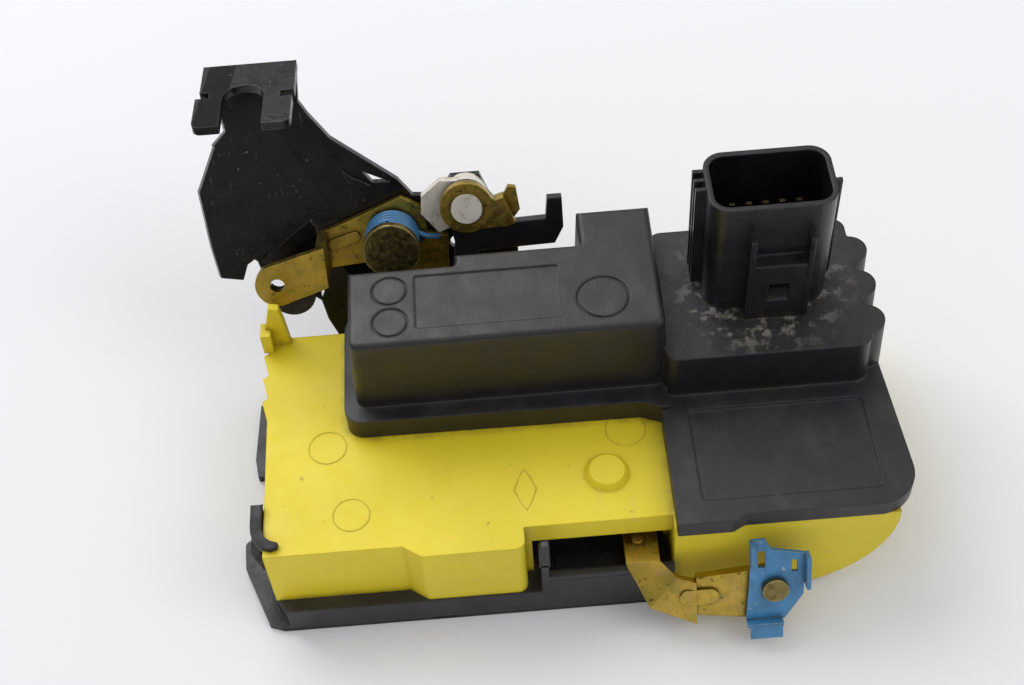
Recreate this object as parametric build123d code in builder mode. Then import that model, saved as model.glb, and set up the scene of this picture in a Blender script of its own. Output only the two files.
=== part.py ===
from build123d import *
from math import cos, pi, radians, sin, tan
import os

# Car door lock, shut-face latch with its actuator, cable bracket and release levers.
# The lock lies on its steel face plate. X runs along the housing, Y to the rear, Z up.
# The origin is the front fixing hole on the underside of the face plate.
# Outlines are drawn from the housing's front left corner, which level() and the other
# plane functions set out from the origin.

# Where the front fixing hole lies from the housing's left and front faces
HOLE_FROM_LEFT = 52.0
HOLE_FROM_FRONT = 9.0
LEFT = -HOLE_FROM_LEFT
FRONT = -HOLE_FROM_FRONT

# Fits
RUN = 0.05          # radial clearance of a pin in a moving hole
SEAT = 0.02         # radial clearance of a fixed pin in its hole
GAP = 0.3           # gap between pieces that pass each other

# Sheet and wall thicknesses
SHEET = 2.0         # steel of the plate, bracket and levers
WALL = 2.0          # moulded housing walls

# Housing heights above the underside of the face plate
BASE_TOP = 9.3
CLAW_CEILING = 7.4
DECK_TOP = 28.0
PLATE_C_TOP = 32.5
FLANGE_TOP = 34.0
BLOCK_TOP = 45.0
BOX_TOP = 55.0
SHROUD_TOP = 76.5

# Housing outline
DECK_LENGTH = 88.0
BASE_DEPTH = 62.0
REAR_DEPTH = 71.0
REAR_STEP_X = 73.0
RIGHT_END = 136.0
BUMP_START = 34.0
BUMP_END = 56.0
BUMP_FRONT = 0.4
LEDGE_FRONT = 5.6
WALL_FRONT = 3.2

# Face plate
PLATE_RIGHT = 86.0
MOUTH_LOW = 24.0
MOUTH_HIGH = 41.0
MOUTH_END = 27.0
THREAD_R = 3.0      # M6 fixing holes
COLLAR_R = 4.6
COLLAR_HEIGHT = 2.6
FIXING_HOLES = [(HOLE_FROM_LEFT, HOLE_FROM_FRONT), (12.0, 55.0), (74.0, 46.0)]
FOOT_BACK = 80.0

# Claw and pawl
CLAW_PIVOT = (25.0, 19.0)
CLAW_R = 21.0
CLAW_HUB_R = 9.0
CLAW_PIN_R = 4.0
CLAW_LOW = 2.6
CLAW_THICK = 4.4
THROAT_WIDTH = 11.5
THROAT_RADIUS = 14.5
CLAW_SWING = 60.0   # angle between open and latched
PAWL_PIVOT = (28.0, 50.0)
PAWL_HUB_R = 5.6
PAWL_PIN_R = 3.0
PAWL_TOE_ANGLE = 38.0
PAWL_HEEL_ANGLE = 53.0
PAWL_TAIL = 28.0
STUD_R = 2.5
STUD_TOP = 14.0
CLAW_HEAD_LOW = 15.6
PAWL_HEAD_LOW = 13.6

# Front slot and the outer release lever
SLOT_LEFT = 60.7
SLOT_BOTTOM = 14.0
FRONT_WALL_LEFT = 59.0
FRONT_WALL_TOP = 20.6
FRONT_WALL_THICK = 1.6
LEVER_PIVOT = (72.0, 32.0)
LEVER_PIN_R = 3.0
LEVER_LOW = 16.0
STRAP_LEFT = 77.4
STRAP_WIDTH = 7.4
ARM_TILT = 24.0     # the arm's face looks up by this angle
CLIP_PIN = (108.8, -5.2, 14.0)
CLIP_PIN_R = 2.0
CLIP_PIN_HEAD_R = 2.8

# Bracket wall: it leans back and its front face meets the ground line at WALL_Y
WALL_Y = 66.0
WALL_LEAN = 24.0
FLANGE_S = 85.0
FLANGE_DEPTH = 22.0
FLANGE_RISE = 10.0
CABLE_SLOT_WIDTH = 9.2
CREASE_TOP = (0.7, 70.2)
CREASE_BOTTOM = (12.8, 45.0)
WING_FOLD = 25.0

# Inner release lever on the bracket wall
INNER_PIVOT = (30.7, 43.0)
INNER_PIN_R = 3.0
INNER_HEAD_R = 6.6
INNER_BACK = 0.5
INNER_FRONT = 10.0
HEAD_BACK = 11.0
ROD_HOLE = (3.4, 36.2)
ROD_HOLE_R = 1.7
ROD_END_R = 5.2
SPRING_R = 6.4
SPRING_WIRE = 1.3
SPRING_TURNS = 4.5

# Lock rocker on its white bush
ROCKER_PIVOT = (48.8, 51.2)
BOSS_R = 3.6
RING_R = 6.1
BUSH_LOW = 3.0
BUSH_THICK = 2.5
ARM_THICK = 2.5
ROCKER_TILT = 9.0   # half of the rocker's swing
FINGER_WIDTH = 4.0
FORK_GAP = 0.8

# Actuator: motor, worm, wheel and slider
SHAFT_Y = 47.0
SHAFT_Z = 41.5
MOTOR_LEFT = 25.0
MOTOR_LENGTH = 25.0
MOTOR_WIDE = 15.4
MOTOR_HIGH = 20.4
SHAFT_R = 1.0
WORM_R = 3.0
WORM_LEFT = 57.0
WORM_LENGTH = 14.0
WHEEL_X = 64.0
WHEEL_R = 11.7
WHEEL_TEETH = 24
AXLE_R = 1.5
PINION_R = 4.2
PINION_TEETH = 10
PINION_PITCH_R = 3.6
RACK_PITCH = 2 * pi * PINION_PITCH_R / PINION_TEETH
RACK_TEETH = 11
WHEEL_Z = SHAFT_Z - WORM_R - WHEEL_R - GAP
SLIDER_TOP = WHEEL_Z - PINION_R - GAP
SLIDER_THICK = 4.2
TAIL_LOW = SLIDER_TOP - SLIDER_THICK
TAIL_THICK = 3.0

# Connector
SHROUD = (99.5, 47.0, 126.5, 64.0)
SHROUD_WALL = 1.2
SHROUD_CORNER = 4.5
PIN_PITCH = 3.6
PIN_ROW = 3.4
POCKET_HEIGHT = 17.0


def level(z):
    """Horizontal plane at height z, drawn from the housing's front left corner."""
    return Plane((LEFT, FRONT, z))


def front(y):
    """Upright plane facing the front at depth y: its axes are X and Z."""
    return Plane(origin=(LEFT, FRONT + y, 0), x_dir=(1, 0, 0), z_dir=(0, -1, 0))


def side(x):
    """Upright plane facing right at x: its axes are Y and Z."""
    return Plane(origin=(LEFT + x, FRONT, 0), x_dir=(0, 1, 0), z_dir=(1, 0, 0))


def wall(out=0.0):
    """Plane of the leaning bracket wall, moved out along its normal by a distance."""
    lean = radians(WALL_LEAN)
    y = FRONT + WALL_Y - out * cos(lean)
    return Plane(origin=(LEFT, y, out * sin(lean)), x_dir=(1, 0, 0),
                 z_dir=(0, -cos(lean), sin(lean)))


def around(centre, radius, angle):
    """Point at a radius and an angle in degrees from a centre."""
    turn = radians(angle)
    return (centre[0] + radius * cos(turn), centre[1] + radius * sin(turn))


def height_on_wall(z, out):
    """Distance up the leaning wall at which a point out from it has height z."""
    lean = radians(WALL_LEAN)
    return (z - out * sin(lean)) / cos(lean)


os.makedirs("parts", exist_ok=True)


def finish(builder, label):
    """Label a finished piece and write its file."""
    builder.part.label = label
    export_step(builder.part, f"parts/{label}.step")


# Face plate: steel, with the striker mouth, three threaded collars and two pin holes
with BuildPart() as face_plate:
    with BuildSketch(level(0)):
        with BuildLine():
            Polyline(
                (0.6, 0.4), (PLATE_RIGHT, 0.4), (PLATE_RIGHT, BASE_DEPTH), (36, BASE_DEPTH),
                (36, FOOT_BACK), (12, FOOT_BACK), (12, BASE_DEPTH), (-6.4, BASE_DEPTH),
                (-7.2, 46.0), (-6.4, MOUTH_HIGH), (-6.4, MOUTH_LOW), (-8.8, 23.0),
                (-8.4, 16.0), (-2.6, 1.6), close=True)
        make_face()
        fillet(vertices().sort_by(Axis.X)[:3], radius=1.5)
        with BuildLine():
            Polyline((-12, MOUTH_LOW), (MOUTH_END - 8.5, MOUTH_LOW),
                     (MOUTH_END - 8.5, MOUTH_HIGH), (-12, MOUTH_HIGH), close=True)
        make_face(mode=Mode.SUBTRACT)
        with Locations((MOUTH_END - 8.5, (MOUTH_LOW + MOUTH_HIGH) / 2)):
            Circle((MOUTH_HIGH - MOUTH_LOW) / 2, mode=Mode.SUBTRACT)
    extrude(amount=SHEET)
    with BuildSketch(level(SHEET)):
        with Locations(*FIXING_HOLES):
            Circle(COLLAR_R)
    extrude(amount=COLLAR_HEIGHT)
    with BuildSketch(level(0)):
        with Locations(*FIXING_HOLES):
            Circle(THREAD_R)
        with Locations(CLAW_PIVOT):
            Circle(CLAW_PIN_R + SEAT)
        with Locations(PAWL_PIVOT):
            Circle(PAWL_PIN_R + SEAT)
        with Locations((18, 74), (30, 74)):
            Circle(2.0 + SEAT)
    extrude(amount=SHEET + COLLAR_HEIGHT, mode=Mode.SUBTRACT)
finish(face_plate, "face_plate")

# Base housing: black moulding over the claw and pawl, with the raised front wall
CAVITY_RIGHT = 62.0
with BuildPart() as base_housing:
    with BuildSketch(level(SHEET)):
        with BuildLine():
            Polyline((2.5, 0), (DECK_LENGTH, 0), (DECK_LENGTH, BASE_DEPTH), (0, BASE_DEPTH),
                     (0, 4.5), close=True)
        make_face()
    extrude(amount=BASE_TOP - SHEET)
    with BuildSketch(level(BASE_TOP)):
        with Locations(((FRONT_WALL_LEFT + DECK_LENGTH) / 2, FRONT_WALL_THICK / 2)):
            Rectangle(DECK_LENGTH - FRONT_WALL_LEFT, FRONT_WALL_THICK)
    extrude(amount=FRONT_WALL_TOP - BASE_TOP)
    with BuildSketch(level(BASE_TOP)):
        with Locations(LEVER_PIVOT):
            Circle(5.0)
        with Locations(((FRONT_WALL_LEFT + DECK_LENGTH) / 2 + 1, 6.0)):
            Rectangle(24, 4.0)
    extrude(amount=1.6)
    # Room for the claw and the pawl
    with BuildSketch(level(SHEET)):
        with Locations((CAVITY_RIGHT / 2 + 1, BASE_DEPTH / 2)):
            Rectangle(CAVITY_RIGHT - 2 * WALL, BASE_DEPTH - 2 * WALL)
        with Locations(((CAVITY_RIGHT + DECK_LENGTH) / 2, BASE_DEPTH / 2)):
            Rectangle(DECK_LENGTH - CAVITY_RIGHT - 2 * WALL, BASE_DEPTH - 2 * WALL)
        with Locations(*FIXING_HOLES):
            Circle(COLLAR_R + 2.2, mode=Mode.SUBTRACT)
    extrude(amount=CLAW_CEILING - SHEET, mode=Mode.SUBTRACT)
    # Striker mouth through the left wall
    with BuildSketch(level(SHEET)):
        with Locations((1, (MOUTH_LOW + MOUTH_HIGH) / 2)):
            Rectangle(6, MOUTH_HIGH - MOUTH_LOW)
    extrude(amount=CLAW_CEILING - SHEET, mode=Mode.SUBTRACT)
    # Collar sockets and screw room
    with BuildSketch(level(SHEET)):
        with Locations(*FIXING_HOLES):
            Circle(COLLAR_R + 0.1)
    extrude(amount=COLLAR_HEIGHT + 0.1, mode=Mode.SUBTRACT)
    with BuildSketch(level(SHEET)):
        with Locations(*FIXING_HOLES):
            Circle(THREAD_R + GAP)
    extrude(amount=CLAW_CEILING - SHEET + 0.6, mode=Mode.SUBTRACT)
    # Pin holes, and the slot for the pawl's stud
    with BuildSketch(level(SHEET)):
        with Locations(CLAW_PIVOT):
            Circle(CLAW_PIN_R + SEAT)
        with Locations(PAWL_PIVOT):
            Circle(PAWL_PIN_R + SEAT)
        with Locations(LEVER_PIVOT):
            Circle(LEVER_PIN_R + SEAT)
        with Locations((PAWL_PIVOT[0] + PAWL_TAIL, PAWL_PIVOT[1] + 2)):
            SlotOverall(14, 2 * STUD_R + 2.4, rotation=90)
    extrude(amount=20, mode=Mode.SUBTRACT)
    # Notch in the front wall for the release lever
    with BuildSketch(front(-1)):
        with Locations(((SLOT_LEFT + DECK_LENGTH) / 2, (SLOT_BOTTOM + FRONT_WALL_TOP) / 2)):
            Rectangle(DECK_LENGTH - SLOT_LEFT, FRONT_WALL_TOP - SLOT_BOTTOM + 0.01)
    extrude(amount=-4, mode=Mode.SUBTRACT)
finish(base_housing, "base_housing")

# Claw: fork with hook leg, rear leg, throat and ratchet lobe, shown open
HOOK_END = 160.0 + CLAW_SWING
LOBE_END = -45.0 + CLAW_SWING
NOTCH_START = 35.0 + CLAW_SWING
NOTCH_END = 60.0 + CLAW_SWING
THROAT_ANGLE = 117.0 + CLAW_SWING
LOBE_R = CLAW_R - 1.0
NOTCH_R = LOBE_R - 4.0
with BuildPart() as claw:
    with BuildSketch(level(CLAW_LOW)):
        with BuildLine():
            Line(CLAW_PIVOT, around(CLAW_PIVOT, LOBE_R, LOBE_END))
            ThreePointArc(around(CLAW_PIVOT, LOBE_R, LOBE_END),
                          around(CLAW_PIVOT, LOBE_R, (LOBE_END + NOTCH_START) / 2),
                          around(CLAW_PIVOT, LOBE_R, NOTCH_START))
            Line(around(CLAW_PIVOT, LOBE_R, NOTCH_START),
                 around(CLAW_PIVOT, NOTCH_R, NOTCH_START))
            ThreePointArc(around(CLAW_PIVOT, NOTCH_R, NOTCH_START),
                          around(CLAW_PIVOT, NOTCH_R, (NOTCH_START + NOTCH_END) / 2),
                          around(CLAW_PIVOT, NOTCH_R, NOTCH_END))
            Line(around(CLAW_PIVOT, NOTCH_R, NOTCH_END), around(CLAW_PIVOT, CLAW_R, NOTCH_END + 4))
            ThreePointArc(around(CLAW_PIVOT, CLAW_R, NOTCH_END + 4),
                          around(CLAW_PIVOT, CLAW_R, (NOTCH_END + 4 + HOOK_END) / 2),
                          around(CLAW_PIVOT, CLAW_R, HOOK_END))
            Line(around(CLAW_PIVOT, CLAW_R, HOOK_END), CLAW_PIVOT)
        make_face()
        with Locations(CLAW_PIVOT):
            Circle(CLAW_HUB_R)
        with BuildLine():
            across = THROAT_ANGLE + 90
            inner = around(CLAW_PIVOT, THROAT_RADIUS, THROAT_ANGLE)
            outer = around(CLAW_PIVOT, CLAW_R + 8, THROAT_ANGLE)
            Polyline(around(inner, THROAT_WIDTH / 2, across), around(outer, THROAT_WIDTH / 2, across),
                     around(outer, -THROAT_WIDTH / 2, across),
                     around(inner, -THROAT_WIDTH / 2, across), close=True)
        make_face(mode=Mode.SUBTRACT)
        with Locations(inner):
            Circle(THROAT_WIDTH / 2, mode=Mode.SUBTRACT)
        with Locations(CLAW_PIVOT):
            Circle(CLAW_PIN_R + RUN, mode=Mode.SUBTRACT)
    extrude(amount=CLAW_THICK)
finish(claw, "claw")

# Claw pin: rivet with a head over the base and a washer end under the claw spring
with BuildPart() as claw_pin:
    with BuildSketch(level(0)):
        with Locations(CLAW_PIVOT):
            Circle(CLAW_PIN_R)
    extrude(amount=CLAW_HEAD_LOW)
    with BuildSketch(level(CLAW_HEAD_LOW)):
        with Locations(CLAW_PIVOT):
            Circle(CLAW_PIN_R + 1.6)
    extrude(amount=1.4)
finish(claw_pin, "claw_pin")

# Pawl: hook that rides on the claw's lobe, with a long tail that carries the stud
with BuildPart() as pawl:
    tail_end = (PAWL_PIVOT[0] + PAWL_TAIL, PAWL_PIVOT[1])
    heel = around(CLAW_PIVOT, LOBE_R + GAP + 0.2, PAWL_HEEL_ANGLE)
    toe = around(CLAW_PIVOT, LOBE_R + GAP + 0.2, PAWL_TOE_ANGLE)
    with BuildSketch(level(CLAW_LOW)):
        with Locations(PAWL_PIVOT):
            Circle(PAWL_HUB_R)
        with BuildLine():
            Polyline((PAWL_PIVOT[0] - 3.6, PAWL_PIVOT[1] - 4.2), heel, toe,
                     (toe[0] + 3.6, toe[1] + 2.8), (PAWL_PIVOT[0] + 5.0, PAWL_PIVOT[1] + 2.4),
                     close=True)
        make_face()
        with BuildLine():
            Polyline((PAWL_PIVOT[0], PAWL_PIVOT[1] + 5.5), (PAWL_PIVOT[0], PAWL_PIVOT[1] - 4),
                     (tail_end[0], tail_end[1] - 3.2), (tail_end[0], tail_end[1] + 3.2), close=True)
        make_face()
        with Locations(tail_end):
            Circle(3.6)
        with Locations(PAWL_PIVOT):
            Circle(PAWL_PIN_R + RUN, mode=Mode.SUBTRACT)
    extrude(amount=CLAW_THICK)
    with BuildSketch(level(CLAW_LOW + CLAW_THICK)):
        with Locations(tail_end):
            Circle(STUD_R)
    extrude(amount=STUD_TOP - CLAW_LOW - CLAW_THICK)
finish(pawl, "pawl")

# Pawl pin
with BuildPart() as pawl_pin:
    with BuildSketch(level(0)):
        with Locations(PAWL_PIVOT):
            Circle(PAWL_PIN_R)
    extrude(amount=PAWL_HEAD_LOW)
    with BuildSketch(level(PAWL_HEAD_LOW)):
        with Locations(PAWL_PIVOT):
            Circle(PAWL_PIN_R + 1.4)
    extrude(amount=1.2)
finish(pawl_pin, "pawl_pin")

# Striker lip: rubber tongue on the left wall that curls over the housing's edge
with BuildPart() as striker_lip:
    with BuildSketch(front(11)):
        with BuildLine():
            Polyline((-0.4, BASE_TOP + 0.2), (-2.8, BASE_TOP + 0.2), (-4.4, 17.0), (-3.6, 21.5),
                     (-1.0, 23.0), (-1.6, 20.8), (-2.4, 17.0), close=True)
        make_face()
    extrude(amount=-9.0)
    chamfer(striker_lip.edges().filter_by(Axis.X).sort_by(Axis.Z)[-1], length=0.6)
finish(striker_lip, "striker_lip")

# Actuator housing: yellow moulding, open below on the left and above on the right
TEETH = 4
TOOTH_PITCH = 6.5
TOOTH_DEPTH = 1.3
TEETH_START = 38.5
RIGHT_FLOOR = 0.2
with BuildPart() as actuator_housing:
    with BuildSketch(level(BASE_TOP)):
        with BuildLine():
            Polyline((0.2, WALL_FRONT), (BUMP_START - 4, WALL_FRONT), (BUMP_START, BUMP_FRONT),
                     (BUMP_END, BUMP_FRONT), (BUMP_END, LEDGE_FRONT), (DECK_LENGTH, LEDGE_FRONT),
                     (DECK_LENGTH, REAR_DEPTH), (REAR_STEP_X, REAR_DEPTH),
                     (REAR_STEP_X, BASE_DEPTH), (0.2, BASE_DEPTH), close=True)
        make_face()
        fillet(vertices().group_by(Axis.Y)[0], radius=2.2)
        # Saw-toothed edge on the left
        for tooth in range(TEETH):
            y = TEETH_START + tooth * TOOTH_PITCH
            with BuildLine():
                Polyline((0.2, y), (0.2 - TOOTH_DEPTH, y + TOOTH_PITCH - 1), (0.2, y + TOOTH_PITCH),
                         close=True)
            make_face()
    extrude(amount=DECK_TOP - BASE_TOP)
    # Open front under the ledge, where the release lever comes out
    with BuildSketch(level(BASE_TOP)):
        with Locations(((BUMP_END + DECK_LENGTH) / 2 + 1, 6)):
            Rectangle(DECK_LENGTH - BUMP_END - 1, 12)
    extrude(amount=22.0 - BASE_TOP, mode=Mode.SUBTRACT)
    # Right part with its rounded underside
    with BuildSketch(front(2)):
        with BuildLine():
            Polyline((RIGHT_END, DECK_TOP), (DECK_LENGTH, DECK_TOP), (DECK_LENGTH, RIGHT_FLOOR),
                     (116.0, RIGHT_FLOOR))
            ThreePointArc((116.0, RIGHT_FLOOR), (129.5, 8.6), (RIGHT_END, DECK_TOP))
        make_face()
    extrude(amount=2 - REAR_DEPTH)
    # Hollow of the left part
    with BuildSketch(level(BASE_TOP)):
        with BuildLine():
            Polyline((WALL, WALL_FRONT + WALL), (BUMP_START - 2, WALL_FRONT + WALL),
                     (BUMP_START + 1, BUMP_FRONT + WALL), (BUMP_END - WALL, BUMP_FRONT + WALL),
                     (BUMP_END - WALL, LEDGE_FRONT + WALL), (DECK_LENGTH - 1, LEDGE_FRONT + WALL),
                     (DECK_LENGTH - 1, REAR_DEPTH - WALL), (REAR_STEP_X + WALL, REAR_DEPTH - WALL),
                     (REAR_STEP_X + WALL, BASE_DEPTH - WALL), (WALL, BASE_DEPTH - WALL), close=True)
        make_face()
    extrude(amount=DECK_TOP - WALL - BASE_TOP, mode=Mode.SUBTRACT)
    # Hollow of the right part
    with BuildSketch(front(2 + WALL)):
        with BuildLine():
            Polyline((RIGHT_END - WALL, DECK_TOP + 1), (DECK_LENGTH + 1, DECK_TOP + 1),
                     (DECK_LENGTH + 1, RIGHT_FLOOR + WALL), (115.6, RIGHT_FLOOR + WALL))
            ThreePointArc((115.6, RIGHT_FLOOR + WALL), (127.8, 9.8), (RIGHT_END - WALL, DECK_TOP + 1))
        make_face()
    extrude(amount=2 + 2 * WALL - REAR_DEPTH, mode=Mode.SUBTRACT)
    # Window in the deck for the worm wheel, and the slider's slot in the rear wall
    with BuildSketch(level(DECK_TOP - WALL - 1)):
        with Locations((WHEEL_X, 50.0)):
            Rectangle(2 * WHEEL_R + 3, 14.0)
    extrude(amount=WALL + 2, mode=Mode.SUBTRACT)
    with BuildSketch(front(BASE_DEPTH - 4)):
        with Locations((48.0, TAIL_LOW + TAIL_THICK / 2)):
            Rectangle(26, TAIL_THICK + 1.2)
    extrude(amount=-6, mode=Mode.SUBTRACT)
    # Post that stands up at the rear left corner
    with BuildSketch(level(DECK_TOP)):
        with BuildLine():
            Polyline((-1.0, 58.0), (1.4, 58.0), (1.4, BASE_DEPTH), (-1.0, BASE_DEPTH), close=True)
        make_face()
    extrude(amount=6.0)
    # Domed knob and two moulding marks on the deck
    with BuildSketch(level(DECK_TOP)):
        with Locations((75.0, 17.5)):
            Circle(5.0)
    extrude(amount=1.6, taper=35)
    # Bearing cheeks of the wheel axle
    for y in (41.6, 57.2):
        with BuildSketch(front(y)):
            with Locations((WHEEL_X, WHEEL_Z)):
                Rectangle(8.0, 9.0)
                Circle(AXLE_R + SEAT, mode=Mode.SUBTRACT)
        extrude(amount=-1.8)
    with BuildSketch(front(40)):
        with Locations((WHEEL_X, WHEEL_Z)):
            Circle(AXLE_R + SEAT)
    extrude(amount=-20, mode=Mode.SUBTRACT)
    # Motor cradle ribs and the shaft's far bearing
    for x in (MOTOR_LEFT + 5, MOTOR_LEFT + 20):
        with BuildSketch(level(DECK_TOP)):
            with Locations((x, SHAFT_Y)):
                Rectangle(3.0, 13.0)
        extrude(amount=SHAFT_Z - MOTOR_HIGH / 2 - DECK_TOP)
    with BuildSketch(side(78.0)):
        with Locations((SHAFT_Y, (DECK_TOP - 1 + SHAFT_Z + 3.5) / 2)):
            Rectangle(7.0, SHAFT_Z + 4.5 - DECK_TOP)
        with Locations((SHAFT_Y, SHAFT_Z)):
            Circle(SHAFT_R + RUN, mode=Mode.SUBTRACT)
    extrude(amount=3.0)
finish(actuator_housing, "actuator_housing")

# Actuator cover: black moulding with the motor box, the connector block and plate C
with BuildPart() as actuator_cover:
    with BuildSketch(level(DECK_TOP)):
        with BuildLine():
            Polyline((132.0, 1.7), (102.7, 1.7), (100.0, 0.3), (88.3, 0.3), (88.3, REAR_DEPTH),
                     (136.6, REAR_DEPTH), (137.3, 45.0), (139.7, 10.4))
            RadiusArc((139.7, 10.4), (132.0, 1.7), 8.4)
        make_face()
    extrude(amount=PLATE_C_TOP - DECK_TOP)
    with BuildSketch(level(DECK_TOP)):
        with BuildLine():
            Polyline((18.5, 32.0), (84.0, 31.4), (88.3, 29.6), (90.0, 29.6), (90.0, REAR_DEPTH),
                     (REAR_STEP_X, REAR_DEPTH), (REAR_STEP_X, BASE_DEPTH), (18.5, BASE_DEPTH),
                     close=True)
        make_face()
        fillet(vertices().group_by(Axis.X)[0], radius=4.0)
    extrude(amount=FLANGE_TOP - DECK_TOP)
    with BuildSketch(level(DECK_TOP)):
        with BuildLine():
            Polyline((21.0, 35.6), (90.5, 35.6), (90.5, REAR_DEPTH), (REAR_STEP_X - 0.6, REAR_DEPTH),
                     (REAR_STEP_X - 0.6, 61.4), (44.6, 61.4), (44.6, 58.4), (21.0, 58.4), close=True)
        make_face()
        fillet(vertices().group_by(Axis.Y)[0], radius=3.0)
    extrude(amount=BOX_TOP - DECK_TOP, taper=2)
    with BuildSketch(level(DECK_TOP)):
        with BuildLine():
            Polyline((89.0, 33.2), (135.0, 33.2), (135.0, REAR_DEPTH), (89.0, REAR_DEPTH), close=True)
        make_face()
        fillet(vertices(), radius=3.5)
        with Locations((134.4, 41.0), (134.4, 51.0), (134.4, 61.0)):
            Circle(4.4)
    extrude(amount=BLOCK_TOP - DECK_TOP, taper=2)
    fillet(actuator_cover.faces().sort_by(Axis.Z)[-1].edges(), radius=1.2)
    # Hollows
    with BuildSketch(level(DECK_TOP)):
        with BuildLine():
            Polyline((23.6, 38.2), (88.0, 38.2), (88.0, 68.6), (REAR_STEP_X + 2, 68.6),
                     (REAR_STEP_X + 2, 59.2), (46.6, 59.2), (46.6, 56.2), (23.6, 56.2), close=True)
        make_face()
    extrude(amount=BOX_TOP - WALL - DECK_TOP, taper=1, mode=Mode.SUBTRACT)
    with BuildSketch(level(DECK_TOP)):
        with Locations((112.0, 52.4)):
            Rectangle(42.0, 33.0)
        with Locations((89.0, 50.0)):
            Rectangle(8.0, 18.0)
    extrude(amount=10.0, mode=Mode.SUBTRACT)
    with BuildSketch(level(DECK_TOP)):
        with Locations((112.0, 52.4)):
            Rectangle(41.0, 32.0)
    extrude(amount=BLOCK_TOP - WALL - DECK_TOP, mode=Mode.SUBTRACT)
    with BuildSketch(level(DECK_TOP)):
        with Locations((111.5, 18.0)):
            Rectangle(42.0, 28.0)
    extrude(amount=2.2, mode=Mode.SUBTRACT)
    # Shallow panel, label recess and window for the connector pins
    with BuildSketch(level(PLATE_C_TOP)):
        with Locations((113.2, 17.6)):
            RectangleRounded(38.3, 23.3, 1.0)
    extrude(amount=-0.6, mode=Mode.SUBTRACT)
    with BuildSketch(level(BOX_TOP)):
        with Locations((52.2, 47.8)):
            RectangleRounded(31.6, 14.6, 0.6)
        with Locations((31.0, 51.3), (31.0, 42.6)):
            Circle(4.0)
            Circle(3.5, mode=Mode.SUBTRACT)
        with Locations((77.0, 45.0)):
            Circle(5.8)
            Circle(5.3, mode=Mode.SUBTRACT)
    extrude(amount=-0.4, mode=Mode.SUBTRACT)
    with BuildSketch(level(BLOCK_TOP)):
        with Locations(((SHROUD[0] + SHROUD[2]) / 2, (SHROUD[1] + SHROUD[3]) / 2)):
            Rectangle(20.0, 9.0)
    extrude(amount=-2 * WALL, mode=Mode.SUBTRACT)
finish(actuator_cover, "actuator_cover")

# Connector shroud: open socket with thin walls, a floor, a latch pocket and side ribs
SHROUD_X = (SHROUD[0] + SHROUD[2]) / 2
SHROUD_Y = (SHROUD[1] + SHROUD[3]) / 2
SHROUD_LONG = SHROUD[2] - SHROUD[0]
SHROUD_DEEP = SHROUD[3] - SHROUD[1]
FLOOR_TOP = BLOCK_TOP + 2.5
PINS = [(SHROUD_X + (column - 2) * PIN_PITCH, SHROUD_Y + (row - 0.5) * PIN_ROW)
        for column in range(5) for row in range(2)]
with BuildPart() as connector_shroud:
    with BuildSketch(level(BLOCK_TOP)):
        with Locations((SHROUD_X, SHROUD_Y)):
            RectangleRounded(SHROUD_LONG, SHROUD_DEEP, SHROUD_CORNER)
    extrude(amount=SHROUD_TOP - BLOCK_TOP)
    # Latch pocket on the front
    with BuildSketch(level(BLOCK_TOP)):
        with Locations((SHROUD_X + 1.6, SHROUD[1] - 1.0)):
            RectangleRounded(12.0, 5.0, 0.8)
    extrude(amount=POCKET_HEIGHT)
    # Ribs on the sides
    with BuildSketch(level(BLOCK_TOP)):
        with Locations((SHROUD[0] - 0.8, 61.0), (SHROUD[0] - 0.8, 58.4), (SHROUD[0] - 0.8, 55.8),
                       (SHROUD[2] + 0.7, 55.6)):
            Rectangle(2.4, 0.9)
    extrude(amount=SHROUD_TOP - 2.0 - BLOCK_TOP)
    with BuildSketch(level(FLOOR_TOP)):
        with Locations((SHROUD_X, SHROUD_Y)):
            RectangleRounded(SHROUD_LONG - 2 * SHROUD_WALL, SHROUD_DEEP - 2 * SHROUD_WALL,
                             SHROUD_CORNER - SHROUD_WALL)
    extrude(amount=SHROUD_TOP - FLOOR_TOP, mode=Mode.SUBTRACT)
    # Room inside the latch pocket, and its window
    with BuildSketch(level(FLOOR_TOP + 2)):
        with Locations((SHROUD_X + 1.6, SHROUD[1] - 0.4)):
            Rectangle(9.2, 3.4)
    extrude(amount=POCKET_HEIGHT - FLOOR_TOP + BLOCK_TOP - 4, mode=Mode.SUBTRACT)
    with BuildSketch(front(SHROUD[1] - 6)):
        with Locations((SHROUD_X + 1.6, BLOCK_TOP + 8.5)):
            Rectangle(4.6, 5.4)
    extrude(amount=-5, mode=Mode.SUBTRACT)
    with BuildSketch(level(BLOCK_TOP)):
        with Locations(*PINS):
            Rectangle(1.5, 1.0)
    extrude(amount=4, mode=Mode.SUBTRACT)
finish(connector_shroud, "connector_shroud")

# Lead frame: board in the connector block that carries the pins
BOARD_TOP = 41.0
BOARD_THICK = 2.4
with BuildPart() as lead_frame:
    with BuildSketch(level(BOARD_TOP - BOARD_THICK)):
        with Locations((112.0, 52.4)):
            Rectangle(40.4, 31.4)
    extrude(amount=BOARD_THICK)
    with BuildSketch(level(BOARD_TOP)):
        with Locations((112.0, 52.4)):
            with GridLocations(37.0, 28.0, 2, 2):
                Circle(1.6)
    extrude(amount=BLOCK_TOP - WALL - BOARD_TOP)
finish(lead_frame, "lead_frame")

# Connector pins
with BuildPart() as connector_pins:
    with BuildSketch(level(BOARD_TOP)):
        with Locations(*PINS):
            Rectangle(1.3, 0.8)
    extrude(amount=SHROUD_TOP - 9 - BOARD_TOP)
finish(connector_pins, "connector_pins")

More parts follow.
